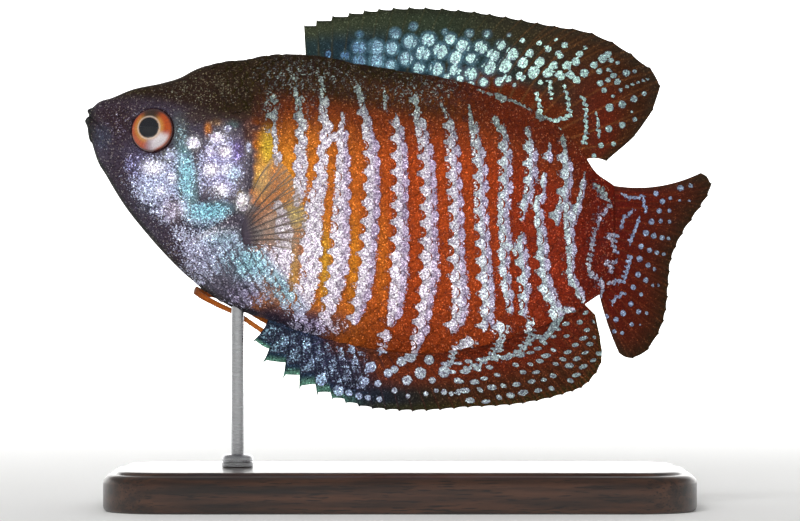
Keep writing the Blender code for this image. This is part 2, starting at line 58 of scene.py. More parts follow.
FLOOR_WHITE = (0.88, 0.88, 0.87)
FLOOR_SIDES, WALL_STEPS, WALL_SLOPE = 96, 14, 80
FISH_MIDDLE = (0, 0, 0.035)


def simple_material(name, **values):
    """A material with one Principled shader, whose own sockets hold what is the same all over."""
    made = bpy.data.materials.new(name)
    made.use_nodes = True
    shader = made.node_tree.nodes["Principled BSDF"]
    for socket, value in values.items():
        shader.inputs[socket.replace("_", " ")].default_value = value
    return made


def build_mesh(name, points, quads, triangles=()):
    """An object from points in metres and arrays of faces, shaded smooth."""
    mesh = bpy.data.meshes.new(name)
    quads = np.array(quads, np.int32).reshape(-1, 4)
    triangles = np.array(triangles, np.int32).reshape(-1, 3)
    corners = np.concatenate([quads.ravel(), triangles.ravel()])
    starts = np.concatenate([np.arange(len(quads)) * 4, len(quads) * 4 + np.arange(len(triangles)) * 3])
    mesh.vertices.add(len(points))
    mesh.vertices.foreach_set("co", np.asarray(points, np.float32).ravel())
    mesh.loops.add(len(corners))
    mesh.loops.foreach_set("vertex_index", corners)
    mesh.polygons.add(len(starts))
    mesh.polygons.foreach_set("loop_start", starts.astype(np.int32))
    mesh.update(calc_edges=True)
    mesh.validate()
    mesh.shade_smooth()
    made = bpy.data.objects.new(name, mesh)
    bpy.context.scene.collection.objects.link(made)
    return made


def grid_quads(rows, columns, wrap=False):
    """Faces of a grid of points stored row by row; wrap joins the last column to the first."""
    across = np.arange(columns if wrap else columns - 1)
    along = np.arange(rows - 1)[:, None]
    a = along * columns + across
    b = along * columns + (across + 1) % columns
    return np.stack([a, b, b + columns, a + columns], -1).reshape(-1, 4)


def tube_faces(rows, around):
    """Faces of rings stored row by row, and the fans that close their ends round two points stored last."""
    ring = np.arange(around)
    ahead = (ring + 1) % around
    count = rows * around
    last = count - around
    low = np.stack([np.full(around, count), ahead, ring], 1)
    high = np.stack([np.full(around, count + 1), last + ring, last + ahead], 1)
    return grid_quads(rows, around, wrap=True), np.vstack([low, high])


def rings_about(profile, sides, centre=(0.0, 0.0)):
    """Rings of points about an upright axis, from (radius, height)."""
    turn = np.linspace(0, 2 * math.pi, sides, endpoint=False)
    radius, height = np.array(profile, float).T[:, :, None]
    x, y = centre[0] + radius * np.cos(turn), centre[1] + radius * np.sin(turn)
    return np.stack([x, y, np.repeat(height, sides, 1)], -1).reshape(-1, 3)


def studio_floor():
    """The floor with its wall, seen only from inside."""
    rise = WALL_RADIUS - FLOOR_FLAT
    profile = [(0.02, 0.0), (0.3, 0.0), (0.8, 0.0)]
    for bend in np.linspace(0, math.radians(WALL_SLOPE), WALL_STEPS):
        profile.append((FLOOR_FLAT + rise * math.sin(bend), rise * (1 - math.cos(bend))))
    points = np.vstack([rings_about(profile, FLOOR_SIDES), (0, 0, 0)])
    quads, ends = tube_faces(len(profile), FLOOR_SIDES)
    return build_mesh("studio_floor", points, quads[:, ::-1], ends[:FLOOR_SIDES, ::-1])


def soft_light(name, at, aim, size, watts, mirrored=True):
    """A round soft light turned towards a place; unless mirrored, it doesn't show in shiny surfaces."""
    made = bpy.data.objects.new(name, bpy.data.lights.new(name, "AREA"))
    made.data.shape = "DISK"
    made.data.size = size
    made.data.energy = watts
    made.location = at
    across, along, up = np.array(aim, float) - np.array(at, float)
    tilt = math.atan2(math.hypot(across, along), -up)
    made.rotation_euler = (tilt, 0.0, math.atan2(along, across) - math.pi / 2)
    made.visible_glossy = mirrored
    bpy.context.scene.collection.objects.link(made)


floor = studio_floor()
floor_paint = simple_material("studio_paper", Base_Color=(*FLOOR_WHITE, 1.0), Roughness=0.9)
floor.data.materials.append(floor_paint)
soft_light("light_beside_camera", (-0.10, -0.80, 0.20), FISH_MIDDLE, 0.5, 7.0, mirrored=False)
soft_light("light_above", (-0.22, -0.42, 0.70), FISH_MIDDLE, 0.3, 1.3, mirrored=False)
soft_light("light_behind", (0.3, 0.8, 0.4), FISH_MIDDLE, 0.6, 0.8)
soft_light("light_on_wall", (0.0, 0.7, 1.2), (0, 2.2, 0.3), 1.0, 60.0, mirrored=False)

world = bpy.data.worlds.new("studio_air")
world.use_nodes = True
world.node_tree.nodes["Background"].inputs["Color"].default_value = (1.0, 1.0, 1.0, 1.0)
world.node_tree.nodes["Background"].inputs["Strength"].default_value = 0.30
bpy.context.scene.world = world
bpy.context.scene.view_settings.view_transform = "Standard"

camera = bpy.data.objects.new("camera", bpy.data.cameras.new("camera"))
camera.location = (0.0, -CAMERA_DISTANCE, VIEW_HEIGHT)
camera.rotation_euler = (math.radians(90), 0, 0)
camera.data.sensor_width = 36.0
camera.data.lens = camera.data.sensor_width * CAMERA_DISTANCE / VIEW_WIDTH
bpy.context.scene.collection.objects.link(camera)
bpy.context.scene.camera = camera


# Display stand
# A dark-stained hardwood base with a rounded edge and a thin foot line, and one bright steel rod with a
# turned ferrule at its foot. The rod ends in a snug hole in the fish's belly.
FISH_LENGTH = 79.2
LIFT = 12.0
BASE_SIZE = (74.0, 36.0)
BASE_THICKNESS = 5.0
BASE_CORNER = 8.0
ROD_X = 19.0
ROD_RADIUS = 0.8
ROD_TOP = 15.9
FERRULE_RADIUS = 2.0
FERRULE_HEIGHT = 1.6
WOOD_DARK = (24, 15, 11)
WOOD_LIGHT = (62, 38, 25)
WOOD_PORE = (12, 8, 6)
STEEL = (196, 197, 200)
GRAIN_STRETCH, PORE_STRETCH = (60.0, 900.0, 900.0), (400.0, 5200.0, 5200.0)
RING_STRETCH = (300.0, 300.0, 9000.0)
CORNER_STEPS, ROD_SIDES = 13, 40


def place(points):
    """Places in millimetres on the fish as points of the model in metres."""
    return (np.asarray(points, float) - (FISH_LENGTH / 2, 0.0, -LIFT)) * MM


def linear(red, green, blue):
    """A colour given as it is seen, from 0 to 255, as Blender's shaders hold it."""
    seen = np.array([red, green, blue], float) / 255
    return np.where(seen <= 0.04045, seen / 12.92, ((seen + 0.055) / 1.055) ** 2.4)


def new_group(name, inputs, outputs):
    """An empty node group with named sockets, each given as (name, type, default)."""
    group = bpy.data.node_groups.new(name, "ShaderNodeTree")
    for socket, kind, default in inputs:
        made = group.interface.new_socket(socket, in_out="INPUT", socket_type=f"NodeSocket{kind}")
        made.default_value = default
    for socket, kind in outputs:
        group.interface.new_socket(socket, in_out="OUTPUT", socket_type=f"NodeSocket{kind}")
    return group, group.nodes.new("NodeGroupInput"), group.nodes.new("NodeGroupOutput")


def add_node(tree, kind, settings=None, **inputs):
    """A node whose sockets are named in inputs, each linked where it is given another node's output."""
    made = tree.nodes.new(kind)
    for key, value in (settings or {}).items():
        setattr(made, key, value)
    for key, value in inputs.items():
        by_number = key[0] == "i" and key[1:].isdigit()
        socket = made.inputs[int(key[1:])] if by_number else made.inputs[key.replace("_", " ")]
        if isinstance(value, bpy.types.NodeSocket):
            tree.links.new(value, socket)
        else:
            socket.default_value = value
    return made


def calculate(tree, operation, first, second):
    """The result of one step of arithmetic in a node tree."""
    return add_node(tree, "ShaderNodeMath", {"operation": operation}, i0=first, i1=second).outputs[0]


def product(tree, first, second):
    """One value times another, in a node tree."""
    return calculate(tree, "MULTIPLY", first, second)


def scaled_colour(tree, colour, factor):
    """A colour made brighter or darker."""
    return add_node(tree, "ShaderNodeVectorMath", {"operation": "SCALE"}, i0=colour, Scale=factor).outputs[0]


def noise(tree, where, scale, detail, **more):
    """Cloudy noise in a node tree, with its scale in clouds a metre."""
    return add_node(tree, "ShaderNodeTexNoise", Vector=where, Scale=scale, Detail=detail, **more).outputs[0]


def object_place(tree, stretch=None):
    """The place on the object, drawn out along its axes where stretch is given."""
    where = add_node(tree, "ShaderNodeTexCoord").outputs["Object"]
    if stretch is None:
        return where
    return add_node(tree, "ShaderNodeMapping", Vector=where, Scale=stretch).outputs[0]


def blend_colours(tree, share, first, second, how="MIX"):
    """Two colours mixed, or the second laid on the first in another way."""
    settings = {"data_type": "RGBA", "blend_type": how}
    return add_node(tree, "ShaderNodeMix", settings, i0=share, i6=first, i7=second).outputs[2]


def remap(tree, value, low, high, new_low=0.0, new_high=1.0, curve="LINEAR"):
    """A value moved from one range to another, and kept within it."""
    ends = {"i1": low, "i2": high, "i3": new_low, "i4": new_high}
    return add_node(tree, "ShaderNodeMapRange", {"interpolation_type": curve}, i0=value, **ends).outputs[0]


def wood_material():
    """Stained hardwood: long grain along the base with fine dark pores."""
    made = simple_material("stand_wood_stained", Roughness=0.34, Coat_Weight=0.35, Coat_Roughness=0.12)
    tree = made.node_tree
    shader = tree.nodes["Principled BSDF"]
    grain = noise(tree, object_place(tree, GRAIN_STRETCH), 1.0, 5.0, Roughness=0.6)
    pore = noise(tree, object_place(tree, PORE_STRETCH), 1.0, 2.0)
    dark, light, black = ((*linear(*shade), 1) for shade in (WOOD_DARK, WOOD_LIGHT, WOOD_PORE))
    colour = blend_colours(tree, remap(tree, grain, 0.35, 0.65), dark, light)
    colour = blend_colours(tree, remap(tree, pore, 0.56, 0.66), colour, black)
    tree.links.new(colour, shader.inputs["Base Color"])
    bump = add_node(tree, "ShaderNodeBump", Strength=0.25, Distance=0.00006, Height=grain)
    tree.links.new(bump.outputs[0], shader.inputs["Normal"])
    return made


def steel_material():
    """Turned steel: faint rings round the rod in its shine."""
    made = simple_material("stand_steel_turned", Base_Color=(*linear(*STEEL), 1), Metallic=1.0)
    tree = made.node_tree
    ring = noise(tree, object_place(tree, RING_STRETCH), 1.0, 2.0)
    rough = remap(tree, ring, 0.3, 0.7, 0.24, 0.30)
    tree.links.new(rough, tree.nodes["Principled BSDF"].inputs["Roughness"])
    return made


def stand_base():
    """The base, lofted through rounded rectangles from its foot up over its rounded edge to a raised top."""
    profile = [(0.5, 0.0), (0.12, 0.25), (0.0, 0.7), (0.0, 3.5)]
    for a in np.radians([15, 35, 55, 75, 90]):
        profile.append((1.1 * (1 - math.cos(a)), 3.5 + 1.1 * math.sin(a)))
    profile += [(1.6, 4.62), (1.8, 4.85), (2.1, 5.0), (4.0, 5.0)]
    middle = FISH_LENGTH / 2
    points = []
    for inset, level in profile:
        for turn, (right, far) in enumerate([(1, 1), (-1, 1), (-1, -1), (1, -1)]):
            for angle in np.radians(90 * turn + np.linspace(0, 90, CORNER_STEPS)):
                radius = BASE_CORNER - inset
                x = middle + right * (BASE_SIZE[0] / 2 - BASE_CORNER) + radius * math.cos(angle)
                y = far * (BASE_SIZE[1] / 2 - BASE_CORNER) + radius * math.sin(angle)
                points.append((x, y, level - LIFT))
    points += [(middle, 0, -LIFT), (middle, 0, BASE_THICKNESS - LIFT)]
    made = build_mesh("stand_base_wood", place(points), *tube_faces(len(profile), 4 * CORNER_STEPS))
    made.data.set_sharp_from_angle(angle=math.radians(50))
    return made


def stand_rod():
    """The rod with its ferrule, as one turned piece from its foot to its end inside the belly."""
    foot = BASE_THICKNESS - LIFT
    collar = foot + FERRULE_HEIGHT
    groove = FERRULE_RADIUS - 0.12
    profile = [
        (FERRULE_RADIUS - 0.1, foot + 0.02), (FERRULE_RADIUS, foot + 0.12), (FERRULE_RADIUS, foot + 0.6),
        (groove, foot + 0.68), (groove, foot + 0.8), (FERRULE_RADIUS, foot + 0.88),
        (FERRULE_RADIUS, collar - 0.45), (groove, collar - 0.2), (FERRULE_RADIUS - 0.45, collar - 0.02),
        (ROD_RADIUS + 0.08, collar), (ROD_RADIUS, collar + 0.08), (ROD_RADIUS, 0.0), (ROD_RADIUS, 8.0),
        (ROD_RADIUS, ROD_TOP - 0.2), (ROD_RADIUS - 0.2, ROD_TOP),
    ]
    profile = [(radius * MM, (z + LIFT) * MM) for radius, z in profile]
    x, y, _ = place((ROD_X, 0.0, 0.0))
    middles = [(x, y, profile[0][1]), (x, y, profile[-1][1])]
    points = np.vstack([rings_about(profile, ROD_SIDES, (x, y)), middles])
    made = build_mesh("stand_rod_steel", points, *tube_faces(len(profile), ROD_SIDES))
    made.data.set_sharp_from_angle(angle=math.radians(35))
    return made


for piece, finish, node, slot in (
    (stand_base(), wood_material(), "stand_base", "stand_wood"),
    (stand_rod(), steel_material(), "stand_rod", "stand_steel"),
):
    piece.data.materials.append(finish)
    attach(piece, "root")
    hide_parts(node)


# Body skin
# The fish's skin over head, jaws, gill covers, trunk and tail stalk, cast as one shell with no seam. The
# head's relief (gill covers, mouth, lips, nostrils, sockets and creases) is raised in it, and the flanks lie
# under scales.
BACK = [
    (0.5, 38.45), (1.2, 39.1), (3.0, 39.75), (5.4, 40.75), (9.6, 41.7), (11.6, 42.3), (13.6, 43.35),
    (15.6, 44.05), (19.6, 44.65), (25.6, 45.35), (29.0, 45.1), (33.6, 44.2), (39.6, 43.2), (45.6, 42.2),
    (49.6, 41.2), (53.6, 39.7), (57.6, 37.6), (60.6, 35.4), (62.8, 32.9), (64.3, 30.6), (66.8, 28.6),
]
BELLY = [
    (0.5, 34.2), (1.0, 32.5), (2.4, 29.9), (4.2, 26.9), (7.6, 22.5), (11.6, 18.2), (15.6, 14.8),
    (19.6, 12.7), (22.4, 11.9), (26.6, 10.4), (31.6, 8.9), (37.6, 7.7), (43.6, 7.4), (49.6, 8.3),
    (55.6, 10.1), (59.6, 11.8), (62.6, 13.4), (64.3, 14.5), (66.8, 16.2),
]
HALF_WIDTH = [
    (0.5, 1.1), (1.5, 1.7), (3.0, 2.3), (5.0, 3.05), (8.0, 3.95), (11.0, 4.6), (15.0, 5.2), (20.0, 5.6),
    (25.0, 5.7), (30.0, 5.6), (36.0, 5.2), (42.0, 4.6), (48.0, 3.8), (54.0, 2.9), (59.0, 2.1), (62.5, 1.5),
    (64.3, 1.15), (66.8, 0.42),
]
WIDEST_AT = [(0.5, 0.5), (8.0, 0.62), (16.0, 0.56), (40.0, 0.52), (66.8, 0.5)]
FULL_ABOVE = [(0.5, 2.0), (9.0, 1.9), (20.0, 1.7), (45.0, 1.45), (66.8, 1.3)]
FULL_BELOW = [(0.5, 1.9), (10.0, 1.65), (20.0, 1.5), (30.0, 1.3), (66.8, 1.25)]
RIDGE = [(0.5, 0.3), (22.0, 0.35), (27.0, 0.5), (64.3, 0.5), (66.8, 0.3)]
SNOUT_START, HEAD_END, RELIEF_END, BODY_END = 0.5, 21.0, 21.6, 66.8
SNOUT_RINGS, HEAD_RINGS, TRUNK_RINGS, HALF_RING = 10, 116, 127, 150
SKIN_STEPS, SNOUT_LEVEL = 400, 36.35
SNOUT_DEPTH = 0.55
COAT_DEPTH = 0.1
EYE_AT = (8.37, 35.6)
EYE_RADIUS = 2.85
EYE_HALF_DEPTH = 1.35
EYE_SUNK = 0.4
NOSTRILS = [(3.9, 37.5, 0.28), (5.0, 38.1, 0.34)]
GILL_COVER = [
    (15.0, 36.0), (16.2, 36.9), (17.8, 37.1), (19.4, 36.4), (20.4, 34.4), (20.8, 31.2), (20.5, 28.2),
    (19.6, 25.8), (17.8, 24.3), (15.3, 22.9), (13.2, 22.3), (12.6, 23.8), (13.5, 26.0), (14.4, 28.9),
    (14.8, 32.4),
]
MOUTH = [(-0.3, 37.95), (0.6, 37.1), (2.4, 35.3)]
MAXILLA = [(2.0, 36.2), (3.6, 33.9)]
CHEEK_CREASE = [(14.9, 35.2), (14.75, 32.0), (14.4, 28.2), (13.3, 25.9)]
COVER_CREASE = [(13.8, 25.8), (15.4, 25.6), (18.0, 26.8)]
THROAT_CREASE = [(4.6, 28.4), (6.2, 26.1), (7.8, 24.9), (9.2, 24.0), (12.4, 22.2)]
CREASES = ((CHEEK_CREASE, 0.13, 0.2), (COVER_CREASE, 0.08, 0.14), (THROAT_CREASE, 0.14, 0.22))
PORES = [(12.6, 29.7, 0.2), (11.9, 34.0, 0.13), (10.2, 31.2, 0.12), (7.4, 31.6, 0.12), (5.2, 33.2, 0.12)]


def smooth(points):
    """A function through (place, value) points, in cubic pieces that share their slopes."""
    places = np.array([p[0] for p in points], float)
    values = np.array([p[1] for p in points], float)
    steps = np.diff(places)
    chords = np.diff(values) / steps
    inner = (steps[:-1] * chords[1:] + steps[1:] * chords[:-1]) / (steps[:-1] + steps[1:])
    slopes = np.concatenate([[chords[0]], inner, [chords[-1]]])

    def at(place):
        place = np.clip(place, places[0], places[-1])
        i = np.clip(np.searchsorted(places, place) - 1, 0, len(steps) - 1)
        t = (place - places[i]) / steps[i]
        return (
            values[i] * (1 + 2 * t) * (1 - t) ** 2
            + values[i + 1] * t**2 * (3 - 2 * t)
            + slopes[i] * steps[i] * t * (1 - t) ** 2
            - slopes[i + 1] * steps[i] * t**2 * (1 - t)
        )

    return at


back, belly, half_width = smooth(BACK), smooth(BELLY), smooth(HALF_WIDTH)
widest_at, ridge = smooth(WIDEST_AT), smooth(RIDGE)
full_above, full_below = smooth(FULL_ABOVE), smooth(FULL_BELOW)


def flank(x, z):
    """Half the body's thickness at a place on its side."""
    top, bottom, rim = back(x), belly(x), ridge(x)
    middle = bottom + (top - bottom) * widest_at(x)
    above = z > middle
    reach = np.where(above, top - middle, middle - bottom)
    t = np.clip(np.abs(z - middle) / reach, 0, 1)
    fullness = np.where(above, full_above(x), full_below(x))
    return rim + (half_width(x) - rim) * (1 - t**2) ** (1 / fullness)


def ease(value, low, high):
    """0 at low, 1 at high, with a soft start and end."""
    t = np.clip((value - low) / (high - low), 0, 1)
    return t * t * (3 - 2 * t)


def apart(x, z, line):
    """How far places on the side are from a line of points, and the share of the line beside each."""
    best, share = np.full(np.shape(x), np.inf), np.zeros(np.shape(x))
    for i, ((x0, z0), (x1, z1)) in enumerate(zip(line, line[1:])):
        dx, dz = x1 - x0, z1 - z0
        t = np.clip(((x - x0) * dx + (z - z0) * dz) / (dx * dx + dz * dz), 0, 1)
        far = np.hypot(x - x0 - t * dx, z - z0 - t * dz)
        share = np.where(far < best, (i + t) / (len(line) - 1), share)
        best = np.minimum(best, far)
    return best, share


def inside_outline(x, z, outline):
    """How far places lie inside a closed outline, in millimetres; outside is below 0."""
    ends = outline[1:] + outline[:1]
    crossings = np.zeros(np.shape(x), int)
    for (x0, z0), (x1, z1) in zip(outline, ends):
        if z0 == z1:
            continue
        crosses = ((z0 > z) != (z1 > z)) & (x < x0 + (z - z0) * (x1 - x0) / (z1 - z0))
        crossings += crosses
    far, _ = apart(x, z, outline + outline[:1])
    return np.where(crossings % 2 == 1, far, -far)


def rounded(outline, steps=4):
    """A closed outline through the same points with curved sides."""
    looped = [outline[-1], *outline, outline[0], outline[1]]
    axes = [smooth(list(enumerate(values))) for values in zip(*looped)]
    places = np.linspace(1, len(outline) + 1, len(outline) * steps, endpoint=False)
    return [(float(axes[0](t)), float(axes[1](t))) for t in places]


def eye_axes(side):
    """The eye's centre on the head and its axes: outwards, backwards and upwards."""
    x, z = EYE_AT
    step = 0.5
    behind = -(flank(x + step, z) - flank(x - step, z)) / (2 * step)
    above = -(flank(x, z + step) - flank(x, z - step)) / (2 * step)
    out = np.array([behind, 1.0, above])
    out /= np.linalg.norm(out)
    centre = np.array([x, float(flank(x, z)), z]) - out * EYE_SUNK
    mirror = np.array([1.0, side, 1.0])
    out, centre = out * mirror, centre * mirror
    up = np.array([0.0, 0.0, 1.0])
    up -= out * out.dot(up)
    up /= np.linalg.norm(up)
    return centre, out, np.cross(up, out), up


def bump_at(far, width, middle=0.0):
    """1 at a distance, falling off to both sides of it."""
    return np.exp(-(((far - middle) / width) ** 2))


COVER_OUTLINE = rounded(GILL_COVER)


def head_relief(points):
    """How far the head's skin stands out of, or dips into, the plain body at each point."""
    x, y, z = points.T
    in_cover = inside_outline(x, z, COVER_OUTLINE)
    sharp = 0.14 + 0.7 * ease(16.0 - x, 0.0, 2.0)
    raised = 0.26 * ease(in_cover / sharp, -0.5, 0.5)
    raised -= 0.16 * bump_at(in_cover, 0.22, -0.25) * ease(x, 14.5, 17.0)
    for line, depth, width in CREASES:
        far, share = apart(x, z, line)
        raised -= depth * bump_at(far, width) * ease(share, 0.0, 0.1) * ease(1 - share, 0.0, 0.1)
    far, share = apart(x, z, MAXILLA)
    raised += 0.16 * bump_at(far, 0.45) * ease(1 - share, 0.0, 0.2)
    far, share = apart(x, z, MOUTH)
    beside = (1 - 0.45 * share) * ease(3.4 - x, 0.0, 1.2)
    above = (z - 37.65) + (x - 0.05) > 0
    lips = np.where(above, 0.3 * bump_at(far, 0.32, 0.5), 0.42 * bump_at(far, 0.4, 0.6))
    raised += (lips - 0.34 * bump_at(far, 0.13)) * beside
    for px, pz, radius in NOSTRILS:
        far = np.hypot(x - px, z - pz)
        raised += 0.09 * bump_at(far, 0.14, 1.45 * radius)
        raised -= 0.5 * ease(1.15 * radius - far, 0.0, 0.6 * radius)
    for px, pz, radius in PORES:
        raised -= 0.14 * ease(radius - np.hypot(x - px, z - pz), -0.05, radius)
    for side in (-1, 1):
        centre, out, _, _ = eye_axes(side)
        offset = points - centre
        radius = np.linalg.norm(offset - (offset @ out)[:, None] * out, axis=1)
        raised += (y * side > 0) * (0.24 * bump_at(radius, 0.24, 3.12) - 1.1 * ease(2.92 - radius, 0.0, 0.3))
    return raised


def section(x, steps):
    """The left half of the body's section at a station, from the back down: y, z and distance round it."""
    z = belly(x) + (back(x) - belly(x)) * (1 + np.cos(np.linspace(0, math.pi, steps))) / 2
    y = flank(x, z)
    return y, z, np.concatenate([[0], np.cumsum(np.hypot(np.diff(y), np.diff(z)))])


def skin_rings():
    """Rings of points round the body, close together on the head, as (ring, place round it, xyz)."""
    head_stations = np.linspace(SNOUT_START, HEAD_END, HEAD_RINGS)
    rings = []
    for x in [*head_stations, *np.linspace(HEAD_END, BODY_END, TRUNK_RINGS + 1)[1:]]:
        y, z, length = section(x, SKIN_STEPS)
        even = np.linspace(0, length[-1], HALF_RING)
        y, z = np.interp(even, length, y), np.interp(even, length, z)
        dome = 0.3 * ridge(x)
        left = np.stack([np.full(HALF_RING, x), -y, z], 1)
        right = (left * (1, -1, 1))[::-1]
        rings.append(np.vstack([left, (x, 0, belly(x) - dome), right, (x, 0, back(x) + dome)]))
    snout = []
    middle = np.array([SNOUT_START, 0.0, SNOUT_LEVEL])
    for bend in np.linspace(math.pi / 2, 0, SNOUT_RINGS + 2)[1:-1]:
        ring = middle + (rings[0] - middle) * math.cos(bend)
        ring[:, 0] -= SNOUT_DEPTH * math.sin(bend)
        snout.append(ring)
    return np.array(snout + rings)


def outwards(rings):
    """The direction out of the skin at each point of its rings."""
    along = np.gradient(rings, axis=0)
    around = np.roll(rings, -1, 1) - np.roll(rings, 1, 1)
    normal = np.cross(around, along)
    normal /= np.linalg.norm(normal, axis=2)[..., None] + 1e-12
    on_left_flank = normal[HEAD_RINGS // 2, HALF_RING // 2]
    return normal * np.sign(-on_left_flank[1])


def scaled_part(x, z):
    """1 where the skin lies under scales, and 0 on the head and at the end of the tail stalk."""
    neck = np.interp(z, [14, 17, 21, 25, 30, 36, 38, 45], [11.8, 12.6, 15.0, 19.4, 20.9, 20.6, 17.5, 14.5])
    return ease(x - neck, -0.2, 0.8) * ease(66.0 - x, 0.0, 1.5)


# Markings of the skin, the scales and the fin roots alike
# Each pale bar or chain of spots is a line of (x, z, half its width); pixels of the photograph read
# (4 + 10 x, 517 - 10 z). Washes are soft patches of pigment, as (x, z, reach in x, reach in z, colour,
# strength), and one on the snout is a painted sheen; flecks have how thickly they lie in place of the last
# two.
BARS = [
    [(23.4, 41.7, 0.35), (23.8, 35.7, 0.5), (24.2, 31.2, 0.4)],
    [(26.2, 42.4, 0.3), (26.6, 39.7, 0.5), (27.1, 35.7, 0.65), (27.1, 31.7, 0.8), (26.9, 27.7, 0.75),
     (26.6, 26.3, 0.4)],
    [(24.2, 26.6, 0.4), (24.8, 25.0, 0.8), (25.0, 22.7, 1.0), (24.8, 19.7, 1.1), (24.4, 16.5, 0.9)],
    [(29.7, 42.4, 0.3), (29.9, 38.7, 0.55), (30.2, 35.7, 0.55), (29.9, 33.6, 0.5), (29.8, 32.0, 0.6),
     (29.5, 28.7, 0.9), (28.8, 25.7, 1.1), (28.4, 21.7, 1.3), (28.3, 17.7, 1.25), (27.5, 14.2, 1.0),
     (26.8, 11.9, 0.6)],
    [(32.3, 37.8, 0.2), (32.3, 35.2, 0.5), (32.4, 31.7, 0.8), (32.3, 26.7, 1.0), (32.1, 21.7, 1.15),
     (31.8, 17.7, 1.15), (30.9, 14.2, 1.0), (29.9, 11.5, 0.6)],
    [(29.9, 33.9, 0.4), (32.2, 35.2, 0.45)],
    [(33.9, 42.4, 0.25), (34.6, 39.7, 0.55), (35.3, 36.7, 0.6), (36.0, 33.7, 0.8), (36.2, 30.2, 0.88),
     (36.0, 24.7, 0.95), (35.7, 20.7, 1.0), (35.4, 16.7, 0.95), (34.5, 13.7, 0.8), (33.8, 11.5, 0.5)],
    [(37.7, 40.8, 0.3), (37.8, 38.3, 0.45)],
    [(39.1, 37.7, 0.2), (39.3, 35.2, 0.75), (39.7, 32.7, 0.88), (39.7, 27.7, 0.9), (39.7, 21.7, 1.0),
     (39.5, 16.7, 1.0), (39.1, 13.2, 0.9), (38.5, 11.3, 0.5)],
    [(41.0, 40.8, 0.25), (41.7, 38.2, 0.6), (42.4, 35.2, 0.78), (43.0, 32.2, 0.9), (43.3, 27.7, 0.9),
     (43.4, 21.7, 1.0), (43.4, 17.2, 1.05), (42.8, 13.2, 0.9), (42.3, 10.9, 0.9), (41.8, 9.2, 0.8),
     (41.5, 7.6, 0.4)],
    [(44.8, 39.0, 0.25), (45.9, 36.7, 0.65), (46.2, 32.7, 0.85), (46.6, 27.7, 0.85), (46.8, 21.7, 0.9),
     (47.0, 17.7, 0.95), (47.3, 14.2, 0.95), (47.0, 11.7, 0.95), (46.1, 10.5, 0.7)],
    [(48.3, 38.8, 0.25), (48.7, 36.7, 0.55), (49.2, 34.2, 0.72), (49.8, 30.7, 0.8), (49.7, 26.7, 0.8),
     (50.1, 21.7, 0.85), (50.5, 16.7, 0.9), (50.8, 13.2, 0.85), (50.3, 11.2, 0.65)],
    [(51.3, 37.6, 0.25), (52.6, 35.2, 0.65), (52.9, 32.7, 0.72), (52.9, 28.7, 0.8), (52.6, 24.7, 0.7),
     (52.9, 21.9, 0.75), (52.7, 18.7, 0.55), (53.1, 15.7, 0.6), (53.5, 13.1, 0.45)],
    [(53.4, 21.4, 0.4), (54.5, 20.2, 0.5)],
    [(55.0, 22.8, 0.2), (54.9, 20.2, 0.7), (55.3, 17.2, 0.65), (55.3, 14.7, 0.7), (55.1, 12.5, 0.35)],
    [(55.6, 36.0, 0.25), (56.2, 33.2, 0.75), (56.1, 30.2, 0.75), (55.8, 27.7, 0.6), (55.2, 25.5, 0.45),
     (54.9, 24.4, 0.25)],
    [(58.6, 33.9, 0.3), (58.2, 31.9, 0.35)],
    [(57.9, 30.2, 0.25), (57.6, 27.7, 0.45), (56.9, 26.0, 0.4)],
    [(57.1, 25.6, 0.45), (57.2, 24.2, 0.6), (57.6, 21.7, 0.65), (57.7, 18.7, 0.7), (58.2, 15.7, 0.8),
     (59.1, 13.7, 0.95), (59.6, 12.2, 0.75), (59.3, 11.2, 0.5), (58.6, 10.1, 0.38), (57.6, 9.1, 0.35)],
    [(59.6, 13.0, 0.5), (61.6, 12.9, 0.3)],
    [(59.9, 36.0, 0.2), (60.5, 33.2, 0.6), (60.9, 30.2, 0.7), (60.4, 27.2, 0.65), (59.6, 25.5, 0.4),
     (59.4, 23.9, 0.3)],
    [(60.9, 26.2, 0.5), (61.0, 23.2, 0.6), (61.3, 20.7, 0.55), (61.2, 17.7, 0.4), (61.8, 15.9, 0.5),
     (62.4, 14.9, 0.55), (62.8, 14.1, 0.3)],
    [(63.0, 30.4, 0.2), (62.6, 27.7, 0.35), (62.0, 25.6, 0.4), (61.6, 23.9, 0.3)],
]
